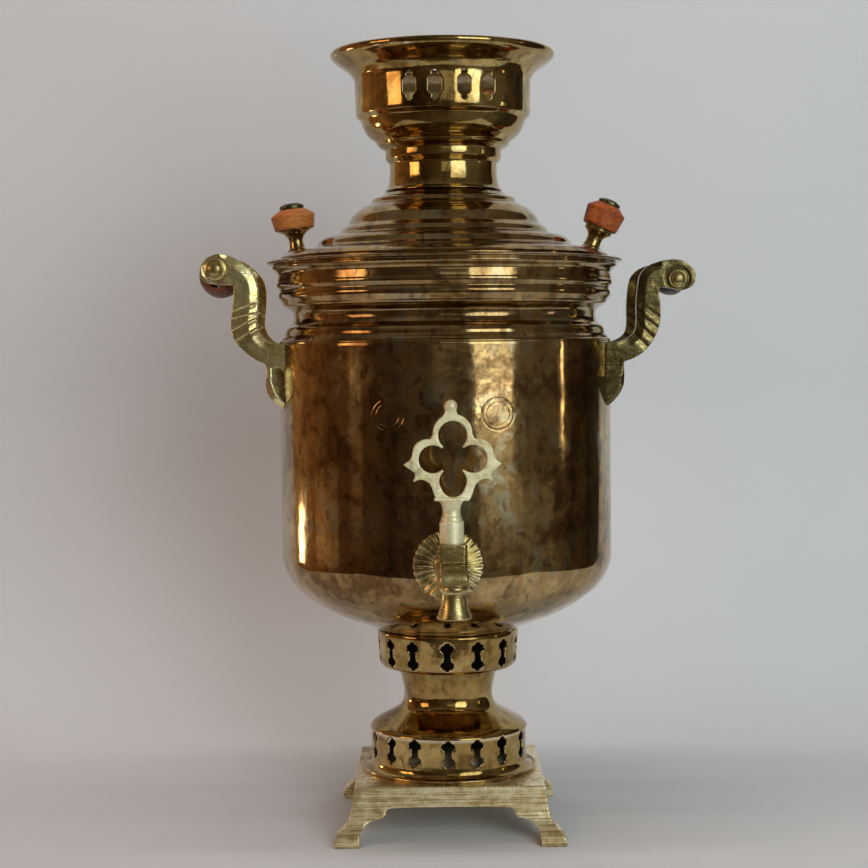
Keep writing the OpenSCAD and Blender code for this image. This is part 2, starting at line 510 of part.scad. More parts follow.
// one casting: tapered plug with its cross hole, turned neck and openwork quatrefoil
module tap_key() color([0.86, 0.78, 0.50]) tap_frame() translate([0, -tap_y, 0]) difference() {
    union() {
        translate([0, 0, 149.5]) cylinder(r1 = 4.9, r2 = 6.3, h = 31.2);
        rotate_extrude() polygon(concat([[0, 180.4], [6.29, 180.4], [6.3, 180.7], [6.5, 180.9], [6.5, 192],
            [6.1, 192.5], [5.6, 192.7], [5.7, 193.8], [5.5, 194.8]],
            curve([[4.9, 195.4], [4.7, 197.6], [4.9, 199.8], [5.5, 201.6], [6.3, 202.8]], 2),
            [[6.6, 203.6], [0, 203.6]]));
        rotate([90, 0, 0]) linear_extrude(height = key_t, center = true) difference() {
            polygon([for (q = concat(key_half, [for (i = [len(key_half) - 1 : -1 : 0])
                [-key_half[i][0], key_half[i][1]]]))
                [q[0] + (q[1] > 204 && q[1] < 249 ? key_off : 0), q[1]]]);
            translate([key_off, 0]) key_holes2d();
        }
        translate([-9.2, -3.3, 203.5]) cube([18.4, 6.6, 1.4]);
        translate([0, 0, 253.4]) sphere(r = 3.6);
    }
    translate([0, 0, tap_z]) rotate([0, 90, 0]) cylinder(r = water_r, h = 30, center = true);
}

base_casting();
pedestal_drum();
pedestal_bell();
air_collar();
grate();
fire_tube();
body_shell();
top_ring();
lid();
lid_knob_stem_left();
lid_knob_stem_right();
lid_knob_wood_left();
lid_knob_wood_right();
lid_knob_cap_left();
lid_knob_cap_right();
lid_knob_nuts();
steam_vent_seat();
steam_vent_cap();
crown();
bracket_left_front();
bracket_left_rear();
bracket_right_front();
bracket_right_rear();
rod_left();
rod_right();
grip_left();
grip_right();
tap_rosette();
tap_body();
tap_shank_nut();
tap_key();
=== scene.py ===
import bpy, bmesh, json, math
import numpy as np
from mathutils import Vector, Matrix, noise
from mathutils.geometry import delaunay_2d_cdt

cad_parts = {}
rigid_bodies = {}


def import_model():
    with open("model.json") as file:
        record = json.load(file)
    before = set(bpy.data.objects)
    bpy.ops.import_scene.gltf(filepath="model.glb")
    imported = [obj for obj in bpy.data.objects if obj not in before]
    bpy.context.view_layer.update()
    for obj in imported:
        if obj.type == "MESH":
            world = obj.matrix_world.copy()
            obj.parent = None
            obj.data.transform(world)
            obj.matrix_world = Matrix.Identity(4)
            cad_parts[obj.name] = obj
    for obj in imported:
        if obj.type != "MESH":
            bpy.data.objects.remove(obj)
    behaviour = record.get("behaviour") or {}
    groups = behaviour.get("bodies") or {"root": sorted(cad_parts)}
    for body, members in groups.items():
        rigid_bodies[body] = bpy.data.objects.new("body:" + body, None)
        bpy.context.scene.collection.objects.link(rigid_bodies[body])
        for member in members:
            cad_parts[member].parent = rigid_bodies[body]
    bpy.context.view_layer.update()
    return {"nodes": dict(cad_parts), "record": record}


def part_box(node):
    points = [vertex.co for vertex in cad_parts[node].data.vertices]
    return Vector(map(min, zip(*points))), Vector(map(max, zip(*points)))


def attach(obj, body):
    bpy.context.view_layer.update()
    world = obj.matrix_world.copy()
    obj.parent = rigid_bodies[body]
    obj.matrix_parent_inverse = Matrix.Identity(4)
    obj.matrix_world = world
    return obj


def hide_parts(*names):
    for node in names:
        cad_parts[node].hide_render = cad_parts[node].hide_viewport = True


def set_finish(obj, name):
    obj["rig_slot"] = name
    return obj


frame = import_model()
MM = 0.001
BR = 98.4
YAW = math.radians(3.2)

# ------------------------------------------------------------------ 2-D helpers
def catmull(p, k):
    out = []
    n = len(p)
    for i in range(n - 1):
        a, b, c, d = p[max(0, i - 1)], p[i], p[i + 1], p[min(n - 1, i + 2)]
        for j in range(k):
            t = j / k
            out.append(tuple(0.5 * (2 * b[m] + (c[m] - a[m]) * t + (2 * a[m] - 5 * b[m] + 4 * c[m] - d[m]) * t * t
                                    + (3 * b[m] - a[m] - 3 * c[m] + d[m]) * t ** 3) for m in (0, 1)))
    out.append(tuple(p[-1]))
    return out


def fillet(path, r, closed=False, ang=10.0, n=4):
    """round every corner sharper than ang with a curve that starts r away from it"""
    P = [np.array(q, float) for q in path]
    m = len(P)
    out = []
    for i in range(m):
        if not closed and i in (0, m - 1):
            out.append(tuple(P[i]))
            continue
        a, b, c = P[i - 1], P[i], P[(i + 1) % m]
        u, v = a - b, c - b
        lu, lv = np.linalg.norm(u), np.linalg.norm(v)
        if lu < 1e-6 or lv < 1e-6:
            continue
        u, v = u / lu, v / lv
        turn = math.degrees(math.acos(max(-1, min(1, float(-u @ v)))))
        if turn < ang:
            out.append(tuple(b))
            continue
        d = min(r, 0.45 * lu, 0.45 * lv)
        p0, p2 = b + u * d, b + v * d
        for j in range(n + 1):
            t = j / n
            out.append(tuple((1 - t) ** 2 * p0 + 2 * t * (1 - t) * b + t * t * p2))
    return out


def resample(path, step):
    """even points along a polyline"""
    P = np.array(path, float)
    s = np.r_[0, np.cumsum(np.linalg.norm(np.diff(P, axis=0), axis=1))]
    n = max(2, int(round(s[-1] / step)) + 1)
    q = np.linspace(0, s[-1], n)
    return [(float(np.interp(t, s, P[:, 0])), float(np.interp(t, s, P[:, 1]))) for t in q]


def densify(path, step):
    """keep every point and add more where the path has long steps"""
    out = []
    for a, b in zip(path[:-1], path[1:]):
        L = math.hypot(b[0] - a[0], b[1] - a[1])
        k = max(1, int(math.ceil(L / step)))
        out += [(a[0] + (b[0] - a[0]) * j / k, a[1] + (b[1] - a[1]) * j / k) for j in range(k)]
    out.append(path[-1])
    return out


def offset_left(path, t):
    P = np.array(path, float)
    d = np.zeros_like(P)
    d[1:-1] = P[2:] - P[:-2]
    d[0] = P[1] - P[0]
    d[-1] = P[-1] - P[-2]
    d /= np.linalg.norm(d, axis=1)[:, None] + 1e-12
    return [tuple(q) for q in P + t * np.c_[-d[:, 1], d[:, 0]]]


def smooth_sheet(path, t, step=1.2, edge=0.35):
    """closed section of a sheet to the left of the path, its two edges rounded"""
    path = densify(path, step)
    inner = offset_left(path, t)[::-1]
    loop = path + inner
    m, k = len(loop), len(path)
    out = []
    for i in range(m):
        if i in (0, k - 1, k, m - 1):
            b = np.array(loop[i]); a = np.array(loop[i - 1]); c = np.array(loop[(i + 1) % m])
            u = (a - b) / (np.linalg.norm(a - b) + 1e-9); v = (c - b) / (np.linalg.norm(c - b) + 1e-9)
            d = min(edge, 0.45 * np.linalg.norm(a - b), 0.45 * np.linalg.norm(c - b))
            for j in range(4):
                w = j / 3
                out.append(tuple((1 - w) ** 2 * (b + u * d) + 2 * w * (1 - w) * b + w * w * (b + v * d)))
        else:
            out.append(loop[i])
    return out


# ------------------------------------------------------------------ mesh helpers
def new_object(name, verts, faces, body, slot, replaces=(), sharp=40.0, smooth=True):
    me = bpy.data.meshes.new(name)
    me.from_pydata([tuple(v) for v in verts], [], faces)
    me.validate(verbose=False)
    me.update()
    bm = bmesh.new()
    bm.from_mesh(me)
    bmesh.ops.remove_doubles(bm, verts=bm.verts, dist=1e-6)
    bmesh.ops.recalc_face_normals(bm, faces=bm.faces)
    bm.to_mesh(me)
    bm.free()
    if smooth:
        me.polygons.foreach_set("use_smooth", [True] * len(me.polygons))
        me.set_sharp_from_angle(angle=math.radians(sharp))
    ob = bpy.data.objects.new(name, me)
    bpy.context.scene.collection.objects.link(ob)
    place(ob, body, slot, replaces)
    return ob


def place(ob, body, slot, replaces=()):
    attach(ob, body)
    if replaces:
        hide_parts(*([replaces] if isinstance(replaces, str) else replaces))
    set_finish(ob, slot)


def no_wobble(x, y, z):
    return 0.0


def lathe_data(loop, n=256, closed=True, wobble=None):
    """rings of a closed (r, z) loop in mm; wobble(th, r, z) adds to the radius"""
    L = np.array(loop, float)
    m = len(L)
    th = np.arange(n) * 2 * math.pi / n
    verts, faces = [], []
    axis = {}
    idx = np.zeros((m, n), int)
    for i in range(m):
        r, z = L[i]
        if r < 1e-4:
            idx[i, :] = len(verts)
            verts.append((0.0, 0.0, z * MM))
            continue
        for k in range(n):
            rr = r + (wobble(th[k], r, z) if wobble else 0.0)
            idx[i, k] = len(verts)
            verts.append((rr * math.sin(th[k]) * MM, -rr * math.cos(th[k]) * MM, z * MM))
    rows = range(m) if closed else range(m - 1)
    for i in rows:
        j = (i + 1) % m
        for k in range(n):
            l = (k + 1) % n
            q = [idx[i, k], idx[i, l], idx[j, l], idx[j, k]]
            q = [v for a, v in enumerate(q) if v not in q[:a]]
            if len(q) >= 3:
                faces.append(q)
    return verts, faces


def transform(verts, M):
    V = np.array(verts, float)
    R = np.array(M)
    return (V @ R[:3, :3].T + R[:3, 3]).tolist()


def lathe(name, loop, body, slot, replaces=(), n=256, sharp=40.0, wobble=None, M=None, closed=True):
    v, f = lathe_data(loop, n, closed, wobble)
    if M is not None:
        v = transform(v, M)
    return new_object(name, v, f, body, slot, replaces, sharp)


def nz(x, y, z):
    return noise.noise(Vector((x, y, z)))


def dents(amp, size, seed=0.0, vstretch=1.0):
    """slow unevenness of hand-worked sheet, in mm"""
    def f(th, r, z):
        x, y = r * math.sin(th) / size, r * math.cos(th) / size
        return amp * (nz(x + seed, y, z / size / vstretch) + 0.5 * nz(2.1 * x - seed, 2.1 * y, 2.1 * z / size / vstretch + 7))
    return f


def remeshed(name, node, body, slot, voxel, smooth=2, shape=None, sharp=180.0, keep=None):
    """a copy of a node's solid as a dense, softly edged casting; shape(V) moves its points (mm)"""
    src = frame["nodes"][node]
    me = src.data.copy()
    me.name = name
    bm = bmesh.new()
    bm.from_mesh(me)
    bmesh.ops.remove_doubles(bm, verts=bm.verts, dist=2e-6)
    bm.to_mesh(me)
    bm.free()
    me.materials.clear()
    ob = bpy.data.objects.new(name, me)
    bpy.context.scene.collection.objects.link(ob)
    md = ob.modifiers.new("r", "REMESH")
    md.mode = "VOXEL"
    md.voxel_size = voxel * MM
    md.adaptivity = 0
    if smooth:
        sm = ob.modifiers.new("s", "SMOOTH")
        sm.factor = 0.5
        sm.iterations = smooth
    dg = bpy.context.evaluated_depsgraph_get()
    ev = ob.evaluated_get(dg)
    out = bpy.data.meshes.new_from_object(ev)
    ob.modifiers.clear()
    ob.data = out
    out.name = name
    co = np.zeros(len(out.vertices) * 3)
    out.vertices.foreach_get("co", co)
    V = co.reshape(-1, 3) * 1000
    if shape is not None:
        V = shape(V)
    lo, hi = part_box(node)
    V = np.clip(V, np.array(lo) * 1000 - 0.02, np.array(hi) * 1000 + 0.02)
    out.vertices.foreach_set("co", (V / 1000).ravel())
    out.update()
    out.polygons.foreach_set("use_smooth", [True] * len(out.polygons))
    if sharp < 180:
        out.set_sharp_from_angle(angle=math.radians(sharp))
    place(ob, body, slot, node)
    return ob


def poly_dist(P, path):
    """distance of points P (n, 2) from a polyline, and how far along it the nearest point is"""
    A = np.array(path, float)
    best = np.full(len(P), 1e9)
    along = np.zeros(len(P))
    s = 0.0
    for a, b in zip(A[:-1], A[1:]):
        d = b - a
        L = np.linalg.norm(d)
        t = np.clip(((P - a) @ d) / (L * L + 1e-12), 0, 1)
        q = np.linalg.norm(P - (a + t[:, None] * d), axis=1)
        m = q < best
        best[m] = q[m]
        along[m] = s + t[m] * L
        s += L
    return best, along


# ------------------------------------------------------------------ pierced walls
def slot_outline(kind, step=0.5):
    """right half-width of a slot against height, then the whole outline, counter-clockwise"""
    if kind == "crown":
        H = 8.5
        def w(z):
            a = abs(z)
            if a <= 3.7:
                return 3.9
            v = 1.7 if a <= 6.8 else math.sqrt(max(0.0, 1.7 ** 2 - (a - 6.8) ** 2))
            if a < 5.3:
                v = max(v, 3.9 - (a - 3.7) * 1.4 / 1.6)
            return v
    else:
        h = 16.8 if kind == "collar" else 16.0
        H = h / 2
        def w(z):
            v = 0.0
            a = abs(z)
            c = H - 2.0
            if abs(a - c) < 2:
                v = math.sqrt(4 - (a - c) ** 2)
            c2 = H - 3.5
            if abs(a - c2) < 2:
                v = max(v, 2 + math.sqrt(4 - (a - c2) ** 2))
            if a < c2:
                t = a / c2
                v = max(v, 1.95 + (4 - 0.9 - 1.95) * t * t)
            return v
    zs = H * np.sin(np.linspace(-math.pi / 2, math.pi / 2, 500))
    right = [(w(float(z)), float(z)) for z in zs]
    right[0] = (0.0, -H)
    right[-1] = (0.0, H)
    half = resample(right, step)
    return half[:-1] + [(-x, z) for x, z in half[::-1]][:-1]


def in_poly(px, py, poly):
    inside = np.zeros(len(px), bool)
    n = len(poly)
    for i in range(n):
        x1, y1 = poly[i]
        x2, y2 = poly[(i + 1) % n]
        c = (y1 > py) != (y2 > py)
        if y1 != y2:
            inside ^= c & (px < (x2 - x1) * (py - y1) / (y2 - y1) + x1)
    return inside


def offset_closed(poly, d):
    P = np.array(poly, float)
    T = np.roll(P, -1, 0) - np.roll(P, 1, 0)
    T /= np.linalg.norm(T, axis=1)[:, None] + 1e-12
    return P + d * np.c_[T[:, 1], -T[:, 0]]


def pierced(R, z0, z1, t, slots, outline, n, rowstep=1.5, bevel=0.5, wob=None):
    """wall between z0 and z1 with holes. R(z) is the outer radius; slots are (angle deg, z).
    Returns verts and faces of the outer and inner skin and of the bevelled slot walls."""
    Rm = R(0.5 * (z0 + z1))
    W = 2 * math.pi * Rm
    s0 = -W / 2
    # the seam stands half way between two slots at the back
    angs = sorted(((a + 180) % 360) - 180 for a, z in slots)
    gaps = [(angs[(i + 1) % len(angs)] - angs[i]) % 360 for i in range(len(angs))]
    g = [i for i in range(len(angs)) if abs(((angs[i] + gaps[i] / 2 + 180) % 360) - 180) > 120]
    i = g[0] if g else 0
    seam = angs[i] + gaps[i] / 2
    k = round(seam / (360 / n))
    seam = k * 360 / n
    rows = max(2, int(round((z1 - z0) / rowstep)))
    zs = np.linspace(z0, z1, rows + 1)
    cen = []
    for a, z in slots:
        d = (a - seam) % 360
        cen.append((d / 360 * W, z))
    outer_rings = [offset_closed(outline, bevel) + np.array(c) for c in cen]
    guard = [offset_closed(outline, bevel + 0.35) + np.array(c) for c in cen]
    X, Z = np.meshgrid(np.linspace(0, W, n + 1), zs)
    X, Z = X.ravel(), Z.ravel()
    keep = np.ones(len(X), bool)
    for q, c in zip(guard, cen):
        near = (abs(X - c[0]) < 8) & (abs(Z - c[1]) < 13)
        keep[near] &= ~in_poly(X[near], Z[near], q)
    edge = (Z < z0 + 1e-6) | (Z > z1 - 1e-6)
    keep |= edge
    pts = [(float(x), float(z)) for x, z in zip(X[keep], Z[keep])]
    edges = []
    ring_ids = []
    for ring in outer_rings:
        b = len(pts)
        m = len(ring)
        pts += [(float(x), float(z)) for x, z in ring]
        edges += [(b + j, b + (j + 1) % m) for j in range(m)]
        ring_ids.append(list(range(b, b + m)))
    res = delaunay_2d_cdt([Vector(p) for p in pts], edges, [], 0, 1e-5)
    ov, oe, of, orig = res[0], res[1], res[2], res[3]
    back = {}
    for i, o in enumerate(orig):
        for q in o:
            back[q] = i
    P2 = np.array([(v[0], v[1]) for v in ov])
    C = np.array([P2[list(f)].mean(0) for f in of])
    hole = np.zeros(len(C), bool)
    for q, c in zip(outer_rings, cen):
        near = (abs(C[:, 0] - c[0]) < 8) & (abs(C[:, 1] - c[1]) < 13)
        hole[near] |= in_poly(C[near, 0], C[near, 1], q)
    tri = [tuple(f) for f, h in zip(of, hole) if not h]

    def lift(p, depth):
        th = math.radians(seam) + p[0] / W * 2 * math.pi
        r = R(p[1]) - depth
        if wob:
            r += wob(th, r, p[1])
        return (r * math.sin(th) * MM, -r * math.cos(th) * MM, p[1] * MM)

    verts = [lift(p, 0) for p in P2]
    nb = len(verts)
    verts += [lift(p, t) for p in P2]
    faces = [f for f in tri] + [tuple(nb + i for i in f[::-1]) for f in tri]
    for ids, c in zip(ring_ids, cen):
        ids = [back[i] for i in ids]
        m = len(ids)
        prev = ids
        prof = [(0.13, 0.5), (0.5, 0.87), (1.0, 1.0)]   # share of the bevel: depth, way in
        for dp, dx in prof:
            ring = offset_closed(outline, bevel * (1 - dx)) + np.array(c)
            cur = list(range(len(verts), len(verts) + m))
            verts += [lift(p, bevel * dp) for p in ring]
            faces += [(prev[j], prev[(j + 1) % m], cur[(j + 1) % m], cur[j]) for j in range(m)]
            prev = cur
        ring = offset_closed(outline, 0.0) + np.array(c)
        cur = list(range(len(verts), len(verts) + m))
        verts += [lift(p, t - 0.2) for p in ring]
        faces += [(prev[j], prev[(j + 1) % m], cur[(j + 1) % m], cur[j]) for j in range(m)]
        prev = cur
        cur = [nb + i for i in ids]
        faces += [(prev[j], prev[(j + 1) % m], cur[(j + 1) % m], cur[j]) for j in range(m)]
    return verts, faces


def lathe_strip(path, n, wob=None):
    """open strip of revolution through the (r, z) path"""
    verts, faces = [], []
    for r, z in path:
        for k in range(n):
            th = 2 * math.pi * k / n
            rr = r + (wob(th, r, z) if wob else 0.0)
            verts.append((rr * math.sin(th) * MM, -rr * math.cos(th) * MM, z * MM))
    for i in range(len(path) - 1):
        for k in range(n):
            l = (k + 1) % n
            faces.append((i * n + k, i * n + l, (i + 1) * n + l, (i + 1) * n + k))
    return verts, faces


def joined(name, parts, body, slot, replaces, sharp=35.0):
    V, F = [], []
    for v, f in parts:
        b = len(V)
        V += v
        F += [tuple(b + i for i in q) for q in f]
    me = bpy.data.meshes.new(name)
    me.from_pydata(V, [], F)
    bm = bmesh.new()
    bm.from_mesh(me)
    bmesh.ops.remove_doubles(bm, verts=bm.verts, dist=4e-6)
    bmesh.ops.recalc_face_normals(bm, faces=bm.faces)
    bm.to_mesh(me)
    open_edges = sum(1 for e in bm.edges if len(e.link_faces) != 2)
    bm.free()
    print(name, "open edges", open_edges, "faces", len(me.polygons))
    me.polygons.foreach_set("use_smooth", [True] * len(me.polygons))
    me.set_sharp_from_angle(angle=math.radians(sharp))
    ob = bpy.data.objects.new(name, me)
    bpy.context.scene.collection.objects.link(ob)
    place(ob, body, slot, replaces)
    return ob


def pierced_lathe(name, path, zone, slots, outline, t, n, body, slot, wob=None, low_inner=None, rowstep=1.5, bevel=0.5):
    """sheet of revolution along a rising (r, z) path whose wall is pierced between the heights of zone"""
    z0, z1 = zone
    P = densify(path, 0.8)
    i0 = max(i for i, p in enumerate(P) if p[1] <= z0)
    i1 = min(i for i, p in enumerate(P) if p[1] >= z1)
    zz = [p[1] for p in P[i0:i1 + 1]]
    rr = [p[0] for p in P[i0:i1 + 1]]
    R = lambda z: float(np.interp(z, zz, rr))
    wall = pierced(R, z0, z1, t, slots, outline, n, rowstep, bevel, wob)
    parts = [wall]
    low = P[:i0 + 1]
    if low[-1][1] < z0 - 1e-6:
        low = low + [(R(z0), z0)]
    low[-1] = (R(z0), z0)
    if low_inner is None:
        inner = offset_left(low, t)
    else:
        inner = list(low_inner)
    inner[-1] = (R(z0) - t, z0)
    turn = low[::-1] + inner
    k = len(low)
    turn = turn[:k - 1] + fillet(turn[k - 2:k + 2], 0.35)[1:-1] + turn[k + 1:]
    parts.append(lathe_strip(turn, n, wob))
    high = [(R(z1), z1)] + [p for p in P[i1:] if p[1] > z1 + 1e-6 or p[0] > R(z1) + 0.3]
    if len(high) < 2:
        top = [(R(z1), z1), (R(z1) - t, z1)]
        parts.append(lathe_strip([top[0], top[1]], n, wob))
    else:
        inner = offset_left(high, t)
        inner[0] = (R(z1) - t, z1)
        turn = high + inner[::-1]
        k = len(high)
        turn = turn[:k - 1] + fillet(turn[k - 2:k + 2], 0.45)[1:-1] + turn[k + 1:]
        parts.append(lathe_strip(turn, n, wob))
    return joined(name, parts, body, slot, name_of(name))


def name_of(n):
    return n[:-4] if n.endswith("_vis") else n


V_ = "_vis"
VES, LID = "vessel", "lid_unit"

# ------------------------------------------------------------------ vessel
bowl = catmull([(36, 115.6), (42.3, 117), (47.4, 119.6), (53, 121.8), (58.8, 124), (64.8, 126.3), (70.4, 128.9),
                (76, 132), (80.6, 134.9), (84.4, 137.7), (87.6, 140.3), (90.4, 143), (92.8, 145.9), (94.7, 148.9),
                (96.2, 152), (97.4, 155.3), (98.2, 158.6), (98.4, 162)], 3)
body_wob = dents(0.13, 34, 3.1, 1.8)


def body_w(th, r, z):
    # fades out where the wall meets the ring and the fire tube
    f = min(1.0, max(0.0, (287.6 - z) / 10)) * min(1.0, max(0.0, (r - 40) / 10))
    return min(0.0, f * (body_wob(th, r, z) - 0.05))


lathe("body_shell_vis", smooth_sheet(bowl + [(98.4, 287.6)], 1.2, step=1.8, edge=0.15), VES, "brass_dark", "body_shell", n=320, wobble=body_w)

ring_outer = ([(98.4, 287.6), (98.7, 288.3), (98.4, 289.1), (97.3, 289.5), (97.2, 290.1), (96.6, 290.9), (95.6, 292.1), (95.3, 292.8), (95.1, 294.3)]
    + catmull([(94.7, 295.5), (93.8, 296.9), (92, 298.3), (90.8, 300.1), (90.1, 302), (90, 303.8), (90.4, 305.6), (91.6, 307.1), (93.4, 308.4), (95.2, 309.3)], 4)
    + [(96.2, 310.3), (96.5, 311.4), (97.6, 312.9), (98.6, 314.3), (98.9, 316), (98.5, 317.5), (97.9, 318.6), (98, 319.4), (98.9, 320.2), (99.8, 321.3),
       (99.9, 322.8), (99.5, 323.8), (99.4, 325.2)]
    + catmull([(99, 328.2), (99.6, 329.4), (101, 330.6), (102.1, 331.5), (102.6, 332.4), (102.4, 333.2)], 4)
    + [(102.1, 333.6), (104.4, 334.2), (105.7, 334.8), (105.8, 335.4), (105, 336), (101.4, 336.4), (97.4, 336.7), (93.4, 336.9)])
ring_inner = [(93.4, 335.7), (98.8, 335), (100.6, 333.6), (99.9, 331.9), (98.2, 330.2), (97.8, 328.4), (98.2, 325), (98.5, 322.4), (97.6, 320.8),
    (96.7, 319), (97.2, 317), (97.6, 315.6), (96.4, 313.8), (95.2, 311.8), (93.9, 310.2), (91.4, 308.6), (89.6, 307), (88.8, 304.6), (88.8, 302.6),
    (89.5, 299.8), (91.1, 297.4), (93, 295.6), (93.7, 294.4), (93.9, 292.6), (94.6, 291.2), (95.9, 289.8), (96.2, 288.6), (97.2, 287.6)]
ring_wob = dents(0.10, 40, 9.7)


def ring_w(th, r, z):
    f = min(1.0, max(0.0, (z - 288) / 6)) * min(1.0, max(0.0, (336 - z) / 5))
    return min(0.0, f * (ring_wob(th, r, z) - 0.04))


def softened(path, times=2, step=0.5):
    """dense path with its corners eased, its ends kept"""
    P = np.array(densify(path, step))
    for _ in range(times):
        Q = P.copy()
        Q[1:-1] = 0.25 * P[:-2] + 0.5 * P[1:-1] + 0.25 * P[2:]
        P = Q
    return [tuple(p) for p in P]


lathe("top_ring_vis", softened(ring_outer, 2, 0.45) + densify(ring_inner, 3)[::1], VES, "brass_dark", "top_ring", n=320, wobble=ring_w, sharp=60)

lid_path = ([(97.4, 338.2), (95.9, 339.5), (94, 340.9), (78.6, 343.9)]
    + catmull([(76.6, 344.4), (75.7, 345.4), (75, 346.8), (74, 348), (72.4, 349.2), (69.5, 350.2)], 4)
    + [(64.5, 351.4)]
    + catmull([(62.6, 351.9), (61.8, 353.2), (61.2, 354.4), (60, 355.6), (58.6, 356.4), (57.4, 357.3), (56.6, 358.8), (55.9, 360.4), (54.6, 362.6),
               (51.8, 365.2), (48.6, 367.5), (45, 369.2)], 4)
    + catmull([(43.6, 369.9), (43, 371), (42.6, 372.2), (41.5, 373), (38.8, 373.9), (36.6, 375.1), (35, 376.3), (31.4, 376.9)], 4))
lid_wob = dents(0.10, 30, 21.3)


def lid_w(th, r, z):
    f = min(1.0, max(0.0, (96 - r) / 8)) * min(1.0, max(0.0, (r - 36) / 8))
    return f * min(0.1, lid_wob(th, r, z))


lid_sheet = softened(lid_path, 2, 0.6)
under = offset_left(lid_sheet, 1.1)
i_s = min(i for i, p in enumerate(under) if p[0] < 93.0)
under = [p for p in under]
loop = lid_sheet[:]
back = [p for p in under if p[0] > 32.3][::-1]
loop += [(31.1, 376.6), (31.1, 362.2), (31.3, 362.0), (32.1, 362.0), (32.3, 362.2), (32.3, 375.2)]
skirt_done = False
for p in back:
    if not skirt_done and p[0] > 91.9:
        loop += [(91.9, p[1]), (91.9, 330.3), (92.1, 330.0), (92.8, 330.0), (93.0, 330.3), (93.0, p[1] - 0.05)]
        skirt_done = True
    if p[0] <= 91.9 or p[0] > 93.0:
        loop.append(p)
lathe("lid_vis", loop, LID, "brass_dark", "lid", n=320, wobble=lid_w, sharp=60)

# ------------------------------------------------------------------ crown
crown_path = (catmull([(35, 377.3), (34.9, 377.8), (33.9, 378.6), (33.2, 379.8), (32.5, 382.6), (32, 386.4)], 4)
    + [(31.8, 392.6), (32.2, 393.8), (33.4, 395), (34.3, 396.6), (34.5, 399), (34.5, 401.2)]
    + catmull([(35.6, 402.3), (37.8, 403.3), (38.9, 404.4), (39.6, 406), (41.4, 407.7), (43.8, 409.4), (45.9, 411.9), (47.5, 414.8), (48.6, 417.6)], 4)
    + [(49.1, 419), (50.2, 420.3), (51.4, 421.4), (51.9, 422.8), (52.2, 437), (52.3, 442.4)]
    + catmull([(52.8, 443.8), (54.2, 445.8), (56.2, 448.2), (59, 450.2), (62.2, 452.3), (64.6, 454.2), (66.1, 456), (66.4, 457.2), (66.2, 458.2), (65.5, 458.9)], 4))
crown_path = softened(crown_path, 2, 0.5)
crown_wob = dents(0.22, 22, 41.0)


def crown_w(th, r, z):
    f = min(1.0, max(0.0, (z - 380) / 6)) * min(1.0, max(0.0, (455 - z) / 5))
    return f * min(0.0, crown_wob(th, r, z) - 0.08)


crown_slots = [(h + a, 433.6) for h in (0, 180) for a in (-22, -5.2, 13.6, 30.2)]
pierced_lathe("crown_vis", crown_path, (422.05, 442.6), crown_slots, slot_outline("crown"), 1.2, 300, "crown_unit", "brass_gold", wob=crown_w)

# ------------------------------------------------------------------ collar, bell, drum
collar_path = (catmull([(28.8, 93), (32, 93), (35, 93.3), (37.8, 93.9), (39.8, 95), (40.9, 96.8), (41.2, 99)], 5)
               + [(42.3, 114.6), (42.2, 115.8), (41.3, 116.5)])
collar_slots = [(a, 104.6) for a in (-81, -55, -30.5, -1, 24.5, 51, 77, 110, 140, 168, 196, 226, 256)]
collar_wob = dents(0.12, 20, 55.0)
pierced_lathe("air_collar_vis", softened(collar_path, 1, 0.5), (95.3, 114.2), collar_slots, slot_outline("collar"), 1.2, 280, VES, "brass_gold",
              wob=lambda th, r, z: min(0.0, collar_wob(th, r, z) * min(1, max(0, (r - 30) / 6)) * min(1, max(0, (116 - z) / 3))))

bell_path = catmull([(47.2, 57.2), (47.1, 57.8), (46.6, 58.7), (45.8, 59.6), (44, 61.1), (40.6, 63), (36.9, 65), (33.4, 66.9), (30.1, 68.9), (28.1, 71.2),
                     (26.9, 74), (26.5, 77.6), (27, 82), (28, 87), (29.2, 91), (29.8, 93)], 4)
bell_wob = dents(0.12, 22, 63.0)
lathe("pedestal_bell_vis", smooth_sheet(softened(bell_path, 2, 0.6), 1.2, edge=0.2), VES, "brass_gold", "pedestal_bell", n=256,
      wobble=lambda th, r, z: min(0.0, bell_wob(th, r, z) * min(1, max(0, (z - 57.5) / 4)) * min(1, max(0, (93 - z) / 4))))

drum_path = (softened([(52.0, 33.3), (52.5, 33.7), (52.5, 34.2)] + catmull([(52.2, 34.7), (51.2, 34.7), (50.4, 34.3), (49.4, 34.6), (48.2, 35.4), (47.2, 36.6), (46.7, 38.4)], 4), 1, 0.35)
             + [(46.5, 41.4), (46.5, 57.2)])
drum_slots = [(a, 48.6) for a in (-72, -47.5, -26, -1, 20.5, 42, 67.5, 91, 115, 139, 163, 187, 211, 235, 261)]
drum_wob = dents(0.10, 20, 71.0)
P = densify(drum_path, 0.8)
i0 = max(i for i, p in enumerate(P) if p[1] <= 39.7)
low_in = [(52.0, 32.4), (46.9, 32.4), (46.3, 34.5), (45.8, 36.6), (45.5, 38.4), (45.3, 39.7)]
pierced_lathe("pedestal_drum_vis", drum_path, (39.7, 57.2), drum_slots, slot_outline("drum"), 1.2, 300, VES, "brass_gold",
              wob=lambda th, r, z: min(0.0, drum_wob(th, r, z) * min(1, max(0, (z - 38) / 4)) * min(1, max(0, (57.2 - z) / 2))), low_inner=low_in)

